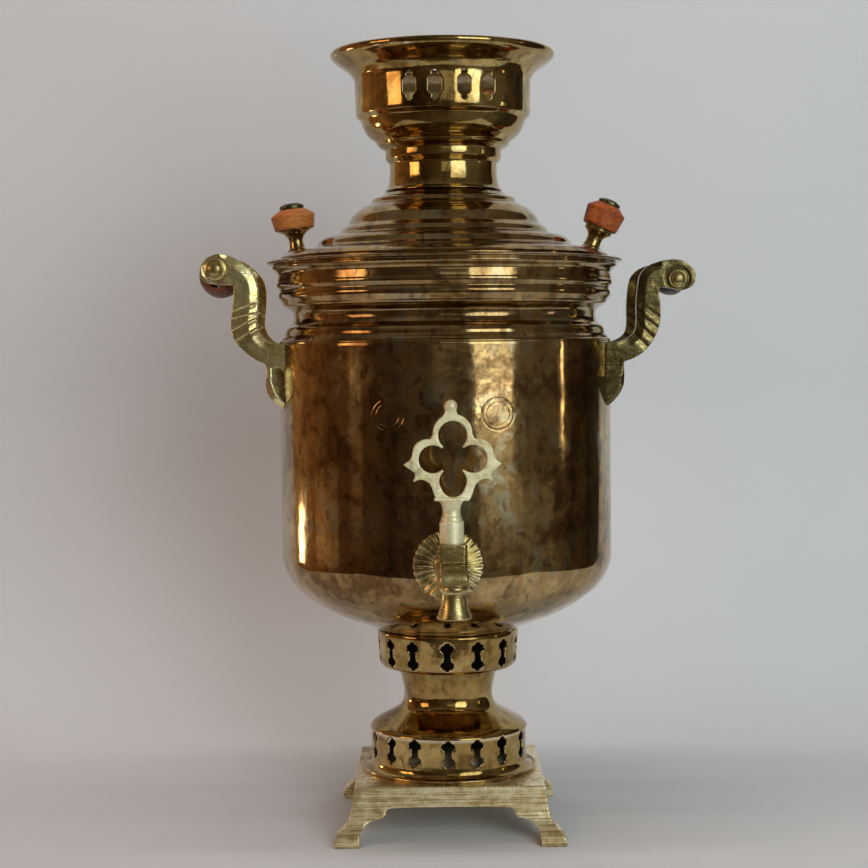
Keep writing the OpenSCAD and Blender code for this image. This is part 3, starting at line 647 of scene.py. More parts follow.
# ------------------------------------------------------------------ fire tube and grate
tube = ([(36, 113), (36, 138)] + catmull([(36, 138), (35.4, 170), (33.1, 230), (30.7, 300), (30.2, 340)], 6)[1:] + [(30.2, 395.6), (30.0, 396.0), (29.2, 396.0), (29.0, 395.6)])
inner_t = ([(29.0, 340)] + catmull([(29.0, 340), (29.5, 300), (31.9, 230), (34.2, 170), (34.8, 138)], 6)[1:] + [(34.8, 114.3), (32.8, 114.3), (32.8, 113)])
lathe("fire_tube_vis", densify(tube, 8) + densify(inner_t, 8), VES, "brass_dark", "fire_tube", n=160)


# ------------------------------------------------------------------ lid knobs
SL = math.radians(11.02)
KX = 87.4
FZ = 340.9 + (94 - KX) * math.tan(SL)


def knob_matrix(s, lean, dz):
    return Matrix.Translation((s * KX * MM, 0, (FZ + dz) * MM)) @ Matrix.Rotation(s * lean, 4, 'Y')


stem_l = catmull([(4.9, 0.8), (4.5, 2.6), (4.2, 4.8), (4.3, 6.6), (5.2, 8.6), (7.2, 10.6), (9.4, 11.8)], 6) + [(9.7, 12.5)]
stem_r = catmull([(5.2, 0.8), (4.8, 2.4), (4.6, 4.6), (4.7, 6.6), (5.6, 8.4), (7.2, 9.8), (8, 10.4)], 6) + [(8.4, 10.7), (8.5, 11.4), (8.1, 11.8), (8.5, 12.2), (8.5, 12.8)]
wood_l = catmull([(10.9, 12.6), (11.6, 12.9), (11.9, 13.6)], 3) + catmull([(12.9, 19.4), (13.1, 20.4), (12.8, 21.3)], 3) \
    + [(11.4, 22.3), (11.1, 22.2), (10.9, 22.65)] + catmull([(8.9, 23.9), (8.2, 24.4), (7.6, 24.6)], 3)
wood_r = catmull([(9.4, 12.9), (10.2, 13.3), (10.7, 14.3)], 3) + catmull([(11.7, 22.2), (11.9, 23.2), (11.6, 24)], 3) \
    + [(10.4, 24.9), (10.1, 24.8), (9.9, 25.3)] + catmull([(9, 25.9), (8.2, 26.7), (7.6, 27.1)], 3)
for s, side_, lean, neck, wood, top, zc, rc, wslot in ((-1, "left", 7, stem_l, wood_l, 24.6, 24.7, 7.2, "wood_orange"), (1, "right", 23.5, stem_r, wood_r, 27.1, 27.2, 6.8, "wood_red")):
    Mk = knob_matrix(s, math.radians(lean), 0.8)
    Mf = knob_matrix(s, SL, 0)
    prof = [(0, 0.8)] + neck + [(3, neck[-1][1]), (3, top), (0, top)]
    v1, f1 = lathe_data(fillet(prof, 0.25), 96, closed=False)
    v1 = transform(v1, Mk)
    foot = fillet([(0, -3.6), (2, -3.6), (2, 0), (5.8, 0), (6.2, 0.7), (5.8, 1.4), (5.2, 1.9), (4.8, 2.4), (0, 2.6)], 0.3)
    v2, f2 = lathe_data(foot, 96, closed=False)
    v2 = transform(v2, Mf)
    joined("lid_knob_stem_%s_vis" % side_, [(v1, f1), (v2, f2)], LID, "brass_gold", "lid_knob_stem_" + side_)
    wd = dents(0.10, 9, 5.0 + s)
    lathe("lid_knob_wood_%s_vis" % side_, densify([(3.06, wood[0][1])] + wood + [(3.06, wood[-1][1])], 0.8), LID, wslot, "lid_knob_wood_" + side_, n=128,
          M=Mk, wobble=lambda th, r, z: wd(th, r, z) if r > 8 else 0.0, sharp=30)
    cap = fillet([(0, 0), (rc - 0.2, 0), (rc, 0.4), (rc, 2), (rc - 0.6, 2.5), (rc - 1.6, 2.6), (rc - 2, 3.1), (rc - 3.6, 3.5), (0, 3.6)], 0.25)
    lathe("lid_knob_cap_%s_vis" % side_, [(r, z + zc) for r, z in cap], LID, "cap_dark", "lid_knob_cap_" + side_, n=96, M=Mk, closed=False, sharp=30)

# steam vent
Mv = Matrix.Translation((0, 84.5 * MM, 342.75 * MM)) @ Matrix.Rotation(-SL, 4, 'X')
seat = fillet([(1.2, -3.5), (2.5, -3.5), (2.5, 0), (5, 0), (5, 1.2), (3.8, 2), (3.8, 3.4), (2.5, 3.4), (2.5, 9.4), (1.2, 9.4)], 0.25, closed=True)
lathe("steam_vent_seat_vis", seat, LID, "brass_cast", "steam_vent_seat", n=64, M=Mv, sharp=30)


def knurl(th, r, z):
    return 0.12 * math.cos(18 * th) - 0.12 if 4.6 < r and 10.8 < z < 13 else 0.0


capv = fillet([(2.56, 3.7), (4.6, 3.7), (5, 4.3), (5, 8.2), (4.3, 9.6), (4.2, 10.6), (4.8, 11.8), (4, 13.2), (2.4, 14), (0, 14.2)], 0.3) + [(0, 9.7), (2.56, 9.7)]
lathe("steam_vent_cap_vis", capv + [(2.56, 3.7)], "vent_cap_unit", "brass_cast", "steam_vent_cap", n=144, M=Mv, sharp=30, wobble=knurl, closed=False)

# ------------------------------------------------------------------ handles: rods and grips
MY = Matrix(((1, 0, 0, 0), (0, 0, -1, 0), (0, 1, 0, 0), (0, 0, 0, 1)))   # +Z of a turned piece points to -Y
for side_, s, p, hang, rg in (("left", -1, (133.2, 331.2), 3.6, 12.3), ("right", 1, (135.0, 323.0), 0.0, 8.6)):
    e = 32.1
    end = [(2.6, e), (4.9, e), (5.2, e + 0.5), (4.95, e + 1.1), (4.35, e + 1.0), (4.1, e + 1.5), (3.6, e + 2.2), (2.8, e + 2.75), (1.6, e + 3.15), (0, e + 3.3)]
    prof = [(r, -z) for r, z in end[::-1]] + end
    prof = fillet(prof, 0.3)
    Mr = Matrix.Translation((s * p[0] * MM, 0, p[1] * MM)) @ MY
    lathe("rod_%s_vis" % side_, prof, VES, "brass_cast", "rod_" + side_, n=96, M=Mr, closed=False, sharp=32)
    h = 22.5
    bore = 6.5 if s < 0 else 2.66
    re = max(bore + 1.9, rg * 0.7)
    g = catmull([(re, -h), (rg * 0.82, -h * 0.88), (rg * 0.93, -h * 0.55), (rg, -h * 0.1), (rg, h * 0.1), (rg * 0.93, h * 0.55), (rg * 0.82, h * 0.88), (re, h)], 10)
    gg = []
    for r, z in g:
        for c in (-h * 0.72, h * 0.72, -h * 0.66, h * 0.66):
            r -= 0.35 * math.exp(-((z - c) / 0.35) ** 2)
        gg.append((r, z))
    g = softened(gg, 1, 0.35)
    loop = fillet(g + [(bore, h), (bore, -h)], 0.5, closed=True, ang=40)
    Mg = Matrix.Translation((s * p[0] * MM, 0, (p[1] - hang) * MM)) @ MY
    wd = dents(0.12, 14, 17.0 + s)
    lathe("grip_%s_vis" % side_, loop, "left_grip_unit" if s < 0 else "right_grip_unit", "wood_grip_" + side_, "grip_" + side_, n=144, M=Mg,
          wobble=lambda th, r, z: (min(0, wd(th, r, z) - 0.05) if r > bore + 0.5 else 0.0), sharp=35)

# ------------------------------------------------------------------ handle brackets
left_in = catmull([(99, 287.5), (103.5, 288.8), (107, 292), (109.2, 296), (109.8, 301), (109, 308), (108.6, 316), (108.9, 321.9), (110.8, 327.3),
                   (114.4, 331.8), (120.4, 336.7), (125.6, 339.1)], 4)
right_in = catmull([(99.5, 286.9), (103.6, 287.9), (107.4, 289.8), (110.2, 292.8), (111.2, 297), (111.3, 302.4), (111.2, 309), (111.8, 316.3),
                    (112.7, 322.5), (114.2, 326.7), (117.6, 330.2), (121.4, 332.2)], 4)
GROOVES = {
    "left": [((124.6, 305.6), (110.2, 311.0)), ((125.0, 301.6), (110.0, 305.4)), ((124.4, 294.6), (109.6, 302.6)), ((121.6, 289.0), (108.6, 297.0))],
    "right": [((125.4, 300.4), (113.6, 309.0)), ((124.4, 294.2), (112.4, 303.6)), ((121.6, 288.6), (111.6, 298.4)), ((118.0, 283.6), (109.4, 292.6))],
}


def bracket_shape(side_, s, y0, inner, rod):
    def f(V):
        u, w, z = s * V[:, 0], V[:, 1] - y0, V[:, 2]
        P = np.c_[u, z]
        flat = (np.abs(w) > 4.15) & (z > 273.5)
        d, along = poly_dist(P, inner)
        taper = np.clip(along / 12, 0, 1)
        lim = 4.5 - np.clip(1 - d / 4.6, 0, 1) * 1.7 * taper
        w2 = np.where(z > 273.5, w * lim / 4.5, w)
        # carved grooves: a steep side above and a long slope below
        for a, b in GROOVES[side_]:
            a, b = np.array(a), np.array(b)
            t = (b - a) / np.linalg.norm(b - a)
            n = np.array([-t[1], t[0]])
            if n[1] > 0:
                n = -n
            q = P - a
            q1, q2 = q @ t, q @ n
            L = np.linalg.norm(b - a)
            on = np.clip((q1 + 2.5) / 2.5, 0, 1) * np.clip((L + 1.5 - q1) / 3, 0, 1)
            cut = np.where(q2 < 0, np.exp(-(q2 / 0.45) ** 2), np.exp(-(q2 / 1.9) ** 2)) * 0.85 * on
            side_in = np.clip((np.abs(w) - 1.0) / 3.0, 0, 1)
            w2 = np.where(z > 273.5, w2 - np.sign(w) * cut * side_in, w2)
        # groove round the boss and the curl of the volute
        r = np.hypot(u - rod[0], z - rod[1])
        ring = np.exp(-((r - 6.6) / 0.7) ** 2) * 0.7
        w2 = np.where(np.abs(w) > 3, w2 - np.sign(w) * ring, w2)
        # facets of the leaf under the scroll
        if side_ == "left":
            a, b = np.array([103.9, 271.5]), np.array([97.6, 254.0])
            t = (b - a) / np.linalg.norm(b - a)
            dd = np.abs((P - a) @ np.array([-t[1], t[0]]))
            lim = 6.6 - 0.62 * dd
        else:
            edge_u = np.interp(z, [249, 251.4, 254.2, 257.4, 261.8, 267.4, 273.4], [93.6, 96.7, 99.4, 101.9, 103.6, 103.9, 103.6])
            lim = 6.5 - 0.30 * np.clip(268.0 - z, 0, 30) - 0.9 * np.clip(u - (edge_u - 2.0), 0, 5)
        w2 = np.where(z < 273.5, np.sign(w) * np.minimum(np.abs(w2), np.maximum(lim, 1.2)), w2)
        V2 = V.copy()
        V2[:, 1] = y0 + w2
        # hand-filed unevenness
        for i in range(len(V2)):
            x, y, zz = V2[i]
            k = 0.16 * nz(x / 9, y / 9, zz / 9) + 0.07 * nz(x / 3 + 5, y / 3, zz / 3)
            V2[i, 1] += -np.sign(w[i]) * abs(k) if abs(w[i]) > 3 else 0.0
        return V2
    return f


for side_, s, inner, rod in (("left", -1, left_in, (133.2, 331.2)), ("right", 1, right_in, (135.0, 323.0))):
    for end, f in (("front", -1), ("rear", 1)):
        nm = "bracket_%s_%s" % (side_, end)
        remeshed(nm + "_vis", nm, VES, "brass_cast", 0.42, smooth=2, shape=bracket_shape(side_, s, f * 27.5, inner, rod))

# ------------------------------------------------------------------ base casting
def base_shape(V):
    V2 = V.copy()
    for i in range(len(V2)):
        x, y, z = V2[i]
        k = 0.12 * nz(x / 16, y / 16, z / 16) + 0.05 * nz(x / 5 + 3, y / 5, z / 2.5)
        if abs(x) > abs(y):
            V2[i, 0] -= math.copysign(abs(k), x)
        else:
            V2[i, 1] -= math.copysign(abs(k), y)
    return V2


remeshed("base_casting_vis", "base_casting", VES, "brass_cast", 0.62, smooth=2, shape=base_shape)

# ------------------------------------------------------------------ tap
def yawed(verts_mm):
    """points in the tap's own frame (mm) to the row frame (m)"""
    V = np.array(verts_mm, float)
    c, sn = math.cos(YAW), math.sin(YAW)
    x, y = V[:, 0], V[:, 1] + BR
    return np.c_[(x * c - y * sn), (x * sn + y * c) - BR, V[:, 2]] * MM


def rosette():
    flutes, R0, R1, tz = 30, 6.15, 19.7, 165.4
    na, nr = flutes * 14, 34
    verts, faces = [], []
    def front(r, a):
        # height above the wall's outermost line, in mm
        if r < 7.8:
            h = 3.9
        else:
            h = 3.9 - 2.6 * ((r - 7.8) / (R1 - 7.8)) ** 1.15
        if r > 8.0:
            ph = (a / (2 * math.pi) * flutes) % 1.0
            rib = abs(math.cos(math.pi * ph))
            depth = 1.15 * min(1, (r - 8.0) / 4.5) ** 0.7 * (1 - 0.25 * max(0, (r - 18.6)))
            h -= depth * (1 - rib ** 2.2)
        if r > R1 - 0.9:
            h -= 0.9 * ((r - R1 + 0.9) / 0.9) ** 2
        return h
    def back(x, z):
        return math.sqrt(BR * BR - x * x)
    rings = list(np.linspace(R0, 7.7, 3)) + list(np.linspace(8.0, R1, nr + 6))
    ids = []
    for r in rings:
        row = []
        for k in range(na):
            a = 2 * math.pi * k / na
            rr = r
            if r > R1 - 2.2:
                ph = (a / (2 * math.pi) * flutes) % 1.0
                rr = r - 0.5 * (1 - abs(math.cos(math.pi * ph)) ** 1.5) * (r - R1 + 2.2) / 2.2
            x, z = rr * math.cos(a), rr * math.sin(a)
            row.append(len(verts))
            verts.append((x, -(BR + front(r, a)), tz + z))
        ids.append(row)
    V = [tuple(v) for v in yawed(verts)]
    # rim and bore walls down to the curved wall
    def to_wall(v, lift=0.02):
        x, z = v[0] / MM, v[2] / MM
        return (v[0], -(math.sqrt(BR * BR - x * x) + lift) * MM, v[2])
    faces = []
    for i in range(len(ids) - 1):
        for k in range(na):
            l = (k + 1) % na
            faces.append((ids[i][k], ids[i][l], ids[i + 1][l], ids[i + 1][k]))
    outer = [len(V) + k for k in range(na)]
    V += [to_wall(V[i]) for i in ids[-1]]
    inner = [len(V) + k for k in range(na)]
    V += [to_wall(V[i]) for i in ids[0]]
    for k in range(na):
        l = (k + 1) % na
        faces.append((ids[-1][k], ids[-1][l], outer[l], outer[k]))
        faces.append((ids[0][l], ids[0][k], inner[k], inner[l]))
        faces.append((outer[k], outer[l], inner[l], inner[k]))
    return new_object("tap_rosette_vis", V, faces, VES, "brass_cast", "tap_rosette", sharp=50)


rosette()


def cast_shape(amp, size):
    def f(V):
        V2 = V.copy()
        c = V.mean(0)
        for i in range(len(V2)):
            x, y, z = V2[i]
            k = amp * (nz(x / size, y / size, z / size) + 0.5 * nz(3 * x / size, 3 * y / size, 3 * z / size + 4))
            V2[i, 0] += k * 0.6
            V2[i, 1] += k * 0.6
        return V2
    return f


remeshed("tap_body_vis", "tap_body", VES, "brass_cast", 0.38, smooth=2, shape=cast_shape(0.10, 5))


def key_shape(V):
    """slightly uneven casting, with a ground plug that stays clear of its bore"""
    ax, ay = 0.001764 / MM, -0.129951 / MM
    V2 = cast_shape(0.06, 7)(V)
    d = np.hypot(V[:, 0] - ax, V[:, 1] - ay)
    plug = (V[:, 2] < 180.6) & (d > 0.5)
    k = np.where(plug, (d - 0.17) / np.maximum(d, 0.5), 1.0)
    V2[plug, 0] = ax + (V[plug, 0] - ax) * k[plug]
    V2[plug, 1] = ay + (V[plug, 1] - ay) * k[plug]
    return V2


remeshed("tap_key_vis", "tap_key", "key_unit", "brass_bright", 0.34, smooth=2, shape=key_shape)

# ------------------------------------------------------------------ materials
class Mat:
    def __init__(self, name):
        self.m = bpy.data.materials.new(name)
        self.m.use_nodes = True
        self.t = self.m.node_tree
        self.b = self.t.nodes["Principled BSDF"]
        tc = self.t.nodes.new("ShaderNodeTexCoord")
        self.obj = tc.outputs["Object"]

    def n(self, kind, **kw):
        nd = self.t.nodes.new(kind)
        for k, v in kw.items():
            if hasattr(nd, k) and not k.startswith("i_"):
                setattr(nd, k, v)
        return nd

    def put(self, sock, v):
        if isinstance(v, bpy.types.NodeSocket):
            self.t.links.new(v, sock)
        else:
            sock.default_value = v

    def scale(self, sx, sy, sz, vec=None, rot=(0, 0, 0)):
        nd = self.n("ShaderNodeMapping")
        self.put(nd.inputs["Vector"], vec or self.obj)
        nd.inputs["Scale"].default_value = (sx, sy, sz)
        nd.inputs["Rotation"].default_value = rot
        return nd.outputs[0]

    def noise(self, scale, detail=4, rough=0.55, dist=0.0, vec=None):
        nd = self.n("ShaderNodeTexNoise")
        self.put(nd.inputs["Vector"], vec or self.obj)
        nd.inputs["Scale"].default_value = scale
        nd.inputs["Detail"].default_value = detail
        nd.inputs["Roughness"].default_value = rough
        nd.inputs["Distortion"].default_value = dist
        return nd.outputs["Fac"]

    def voronoi(self, scale, vec=None, feature="F1", rand=1.0):
        nd = self.n("ShaderNodeTexVoronoi")
        nd.feature = feature
        self.put(nd.inputs["Vector"], vec or self.obj)
        nd.inputs["Scale"].default_value = scale
        nd.inputs["Randomness"].default_value = rand
        return nd.outputs["Distance"]

    def ramp(self, fac, stops, interp="LINEAR"):
        nd = self.n("ShaderNodeValToRGB")
        nd.color_ramp.interpolation = interp
        el = nd.color_ramp.elements
        while len(el) > 1:
            el.remove(el[-1])
        el[0].position = stops[0][0]
        el[0].color = self.c4(stops[0][1])
        for p, c in stops[1:]:
            e = el.new(p)
            e.color = self.c4(c)
        self.put(nd.inputs["Fac"], fac)
        return nd.outputs["Color"]

    @staticmethod
    def c4(c):
        if isinstance(c, (int, float)):
            return (c, c, c, 1)
        return (c[0], c[1], c[2], 1)

    def math(self, op, a, b=0.0, c=None, clamp=False):
        nd = self.n("ShaderNodeMath")
        nd.operation = op
        nd.use_clamp = clamp
        self.put(nd.inputs[0], a)
        self.put(nd.inputs[1], b)
        if c is not None:
            self.put(nd.inputs[2], c)
        return nd.outputs[0]

    def rng(self, v, a, b, c, d, smooth=False):
        nd = self.n("ShaderNodeMapRange")
        nd.interpolation_type = "SMOOTHSTEP" if smooth else "LINEAR"
        self.put(nd.inputs[0], v)
        for i, x in enumerate((a, b, c, d)):
            nd.inputs[i + 1].default_value = x
        return nd.outputs[0]

    def mix(self, fac, a, b, mode="MIX"):
        nd = self.n("ShaderNodeMix")
        nd.data_type = "RGBA"
        nd.blend_type = mode
        self.put(nd.inputs["Factor"], fac)
        self.put(nd.inputs["A"], a if isinstance(a, bpy.types.NodeSocket) else self.c4(a))
        self.put(nd.inputs["B"], b if isinstance(b, bpy.types.NodeSocket) else self.c4(b))
        return [o for o in nd.outputs if o.type == "RGBA"][0]

    def bump(self, height, strength, dist=0.001, normal=None):
        nd = self.n("ShaderNodeBump")
        nd.inputs["Strength"].default_value = strength
        nd.inputs["Distance"].default_value = dist
        self.put(nd.inputs["Height"], height)
        if normal is not None:
            self.put(nd.inputs["Normal"], normal)
        return nd.outputs[0]

    def out(self, color=None, rough=None, normal=None, metallic=None, **kw):
        for k, v in (("Base Color", color), ("Roughness", rough), ("Normal", normal), ("Metallic", metallic)):
            if v is not None:
                self.put(self.b.inputs[k], v if isinstance(v, (bpy.types.NodeSocket, float, int)) else self.c4(v))
        for k, v in kw.items():
            self.put(self.b.inputs[k.replace("_", " ")], v)
        return self.m


def cylindrical(M):
    """(x, y, z) and the radius from the upright axis"""
    sp = M.n("ShaderNodeSeparateXYZ")
    M.put(sp.inputs[0], M.obj)
    x, y, z = sp.outputs
    r = M.math("SQRT", M.math("ADD", M.math("MULTIPLY", x, x), M.math("MULTIPLY", y, y)))
    return x, y, z, r


def sheet_brass(name, dark, mid, light, film, rough=(0.05, 0.15), patina=0.5, turned=0.0, wipes=1.0, stamps=False, soot=None, rim_highlight=0.0):
    M = Mat(name)
    x, y, z, r = cylindrical(M)
    big = M.noise(24, 5, 0.6, 0.6)
    spots = M.noise(95, 6, 0.65, 0.3)
    streak = M.noise(1.0, 5, 0.6, 0.2, vec=M.scale(240, 240, 26))
    fine = M.noise(1.0, 3, 0.6, 0.0, vec=M.scale(1400, 1400, 70))
    patch = M.noise(1.0, 4, 0.55, 0.5, vec=M.scale(110, 110, 70))
    # colour: worn lighter brass under brown patina that was wiped off in patches
    f = M.math("MULTIPLY_ADD", big, 0.6, M.math("MULTIPLY", spots, 0.4))
    f = M.math("ADD", f, M.math("MULTIPLY", M.math("SUBTRACT", streak, 0.5), 0.14 * wipes))
    col = M.ramp(f, [(patina - 0.13, light), (patina, mid), (patina + 0.13, dark)], "EASE")
    # a grey-green film in sharp-edged patches
    pm = M.math("MULTIPLY", M.rng(patch, 0.52, 0.57, 0.0, 1.0, True), M.rng(big, 0.38, 0.56, 0.9, 0.15))
    # the film is thin low down, where the sheet was scoured
    pm = M.math("MULTIPLY", pm, M.rng(z, 0.150, 0.162, 0.25, 1.0))
    col = M.mix(M.math("MULTIPLY", pm, 0.8), col, film)
    pm2 = M.rng(M.noise(1.0, 4, 0.55, 0.45, vec=M.scale(150, 150, 105)), 0.52, 0.68, 0.0, 0.65, True)
    col = M.mix(pm2, col, (dark[0] * 0.7, dark[1] * 0.65, dark[2] * 0.6))
    # dark specks in groups
    speck = M.rng(M.voronoi(330), 0.07, 0.15, 1.0, 0.0)
    rare = M.rng(M.noise(60, 3, 0.5), 0.56, 0.66, 0.0, 0.8)
    col = M.mix(M.math("MULTIPLY", speck, rare), col, (dark[0] * 0.4, dark[1] * 0.4, dark[2] * 0.4))
    # roughness: cloudy with wiped streaks, duller under the film
    rf = M.math("ADD", M.math("MULTIPLY", spots, 0.5), M.math("MULTIPLY", streak, 0.5))
    ro = M.math("ADD", M.rng(rf, 0.36, 0.64, rough[0], rough[1]), M.math("MULTIPLY", pm, 0.07))
    # scratches along the wipes and small dimples
    h = M.math("MULTIPLY_ADD", fine, 0.12, M.math("MULTIPLY", streak, 0.2 * wipes))
    h = M.math("ADD", h, M.math("MULTIPLY", M.noise(300, 3, 0.5), 0.35))
    if turned:
        rings = M.noise(1.0, 2, 0.5, 0.0, vec=M.scale(3, 3, 2200))
        h = M.math("ADD", h, M.math("MULTIPLY", rings, turned))
    nrm = M.bump(h, 0.10, 0.0005)
    if stamps:
        nrm = M.bump(medallions(M, x, y, z), 0.24, 0.0012, nrm)
    nrm = M.bump(M.noise(48, 3, 0.5), 0.10, 0.002, nrm)
    metal = 1.0
    geo = M.n("ShaderNodeNewGeometry")
    if rim_highlight:
        # painted highlight: the slots' cut edges are painted bright, as where they catch the light
        painted_rim_highlight = M.math("MULTIPLY", M.rng(geo.outputs["Pointiness"], 0.515, 0.56, 0.0, 1.0, True), rim_highlight)
        col = M.mix(painted_rim_highlight, col, (0.95, 0.84, 0.58))
        ro = M.math("ADD", ro, M.math("MULTIPLY", painted_rim_highlight, 0.22))
    if soot:
        # the inner side is black with soot and ash
        sn = M.n("ShaderNodeSeparateXYZ")
        M.put(sn.inputs[0], geo.outputs["Normal"])
        out = M.math("ADD", M.math("MULTIPLY", sn.outputs[0], x), M.math("MULTIPLY", sn.outputs[1], y))
        out = M.math("DIVIDE", out, M.math("MAXIMUM", r, 0.001))
        ins = M.rng(out, -0.55, -0.35, 1.0, 0.0)
        col = M.mix(M.math("MULTIPLY", ins, soot[0]), col, soot[1])
        ro = M.math("ADD", ro, M.math("MULTIPLY", ins, soot[2]))
        metal = M.math("SUBTRACT", 1.0, M.math("MULTIPLY", ins, soot[3]))
    return M.out(col, ro, nrm, metal)


def medallions(M, x, y, z):
    """two plain round impressions on the front of the wall: two concentric rings each, worn in places"""
    total = None
    for ax, cz in ((-0.0327, 0.2478), (0.0281, 0.2478)):
        dx = M.math("SUBTRACT", x, ax)
        dz = M.math("SUBTRACT", z, cz)
        d = M.math("SQRT", M.math("ADD", M.math("MULTIPLY", dx, dx), M.math("MULTIPLY", dz, dz)))
        s = None
        for rad, wid, amt in ((0.0088, 0.0007, 1.0), (0.0064, 0.0004, 0.6)):
            k = M.math("ABSOLUTE", M.math("SUBTRACT", d, rad))
            k = M.math("MULTIPLY", M.rng(k, wid * 0.3, wid, 1.0, 0.0, True), amt)
            s = k if s is None else M.math("ADD", s, k)
        worn = M.rng(M.noise(120, 3, 0.5), 0.35, 0.6, 0.15, 1.0)
        s = M.math("MULTIPLY", M.math("MULTIPLY", s, worn), M.math("LESS_THAN", y, 0.0))
        total = s if total is None else M.math("ADD", total, s)
    return M.math("MULTIPLY", total, -1.0)


def cast_brass(name, dark, mid, light, rough=(0.26, 0.48), filed=(40, 40, 1600), filed_amt=0.5, grain=0.4, tone=0.3, pit=None, old=0.65, metal=1.0):
    M = Mat(name)
    big = M.noise(38, 4, 0.6, 0.4)
    spots = M.noise(240, 5, 0.65, 0.2)
    marks = M.noise(1.0, 3, 0.6, 0.4, vec=M.scale(*filed))
    f = M.math("MULTIPLY_ADD", big, 0.5, M.math("MULTIPLY", spots, 0.5))
    f = M.math("ADD", f, M.math("MULTIPLY", M.math("SUBTRACT", marks, 0.5), tone))
    col = M.ramp(f, [(0.38, light), (0.5, mid), (0.64, dark)], "EASE")
    # darker in hollows and corners
    geo = M.n("ShaderNodeNewGeometry")
    hollow = M.rng(geo.outputs["Pointiness"], 0.40, 0.49, 1.0, 0.0)
    col = M.mix(M.math("MULTIPLY", hollow, 0.75), col, (dark[0] * 0.35, dark[1] * 0.32, dark[2] * 0.28))
    # brown blotches of old polish
    blotch = M.rng(M.noise(85, 4, 0.6, 1.2), 0.55, 0.68, 0.0, old, True)
    col = M.mix(blotch, col, (dark[0] * 0.6, dark[1] * 0.55, dark[2] * 0.5))
    # painted highlight: sharp outer edges are painted lighter
    edge = M.rng(geo.outputs["Pointiness"], 0.53, 0.62, 0.0, 0.7)
    col = M.mix(edge, col, (min(1, light[0] * 1.1), min(1, light[1] * 1.1), min(1, light[2] * 1.15)))
    ro = M.rng(M.math("ADD", M.math("MULTIPLY", spots, 0.6), M.math("MULTIPLY", marks, 0.4)), 0.36, 0.64, rough[0], rough[1])
    h = M.math("MULTIPLY_ADD", marks, filed_amt, M.math("MULTIPLY", M.noise(900, 4, 0.6), grain))
    nrm = M.bump(h, 0.28, 0.0005)
    nrm = M.bump(M.noise(130, 4, 0.55), 0.22, 0.0012, nrm)
    if pit:
        # a small round casting pit on the front face
        sp = M.n("ShaderNodeSeparateXYZ")
        M.put(sp.inputs[0], M.obj)
        dx = M.math("SUBTRACT", sp.outputs[0], pit[0])
        dz = M.math("SUBTRACT", sp.outputs[2], pit[1])
        d = M.math("SQRT", M.math("ADD", M.math("MULTIPLY", dx, dx), M.math("MULTIPLY", dz, dz)))
        near = M.math("MULTIPLY", M.rng(d, 0.0005, 0.0016, 1.0, 0.0, True), M.math("LESS_THAN", sp.outputs[1], 0.0))
        nrm = M.bump(M.math("MULTIPLY", near, -1.0), 0.8, 0.001, nrm)
        rim = M.math("MULTIPLY", near, M.rng(d, 0.0005, 0.0011, 0.0, 1.0, True))
        col = M.mix(M.math("MULTIPLY", rim, 0.6), col, (0.95, 0.92, 0.75))
    return M.out(col, ro, nrm, metal)


def wood(name, dark, mid, light, axis="Z", rough=(0.40, 0.62), scale=1.0):
    M = Mat(name)
    sc = {"Z": (160, 160, 900), "Y": (700, 90, 700), "X": (90, 700, 700)}[axis]
    sc = tuple(s * scale for s in sc)
    grain = M.noise(1.0, 5, 0.65, 1.2, vec=M.scale(*sc))
    big = M.noise(70, 4, 0.6, 0.8)
    pores = M.noise(1.0, 2, 0.5, 0.0, vec=M.scale(sc[0] * 3, sc[1] * 3, sc[2] * 1.2))
    f = M.math("MULTIPLY_ADD", grain, 0.6, M.math("MULTIPLY", big, 0.4))
    col = M.ramp(f, [(0.34, light), (0.5, mid), (0.66, dark)], "EASE")
    p = M.rng(pores, 0.30, 0.42, 0.75, 0.0)
    col = M.mix(p, col, (dark[0] * 0.4, dark[1] * 0.4, dark[2] * 0.4))
    geo = M.n("ShaderNodeNewGeometry")
    edge = M.rng(geo.outputs["Pointiness"], 0.52, 0.60, 0.0, 0.5)
    col = M.mix(edge, col, light)
    ro = M.rng(grain, 0.3, 0.7, rough[0], rough[1])
    h = M.math("ADD", M.math("MULTIPLY", grain, 0.7), M.math("MULTIPLY", pores, 0.5))
    nrm = M.bump(h, 0.35, 0.0006)
    return M.out(col, ro, nrm, 0.0, Coat_Weight=0.06, Coat_Roughness=0.3, Specular_IOR_Level=0.3)


def iron(name):
    M = Mat(name)
    big = M.noise(60, 5, 0.65, 0.3)
    col = M.ramp(big, [(0.35, (0.05, 0.045, 0.04)), (0.55, (0.11, 0.08, 0.06)), (0.7, (0.20, 0.11, 0.06))])
    nrm = M.bump(M.noise(420, 6, 0.7), 0.6, 0.001)
    return M.out(col, M.rng(big, 0.3, 0.7, 0.6, 0.9), nrm, 0.6)


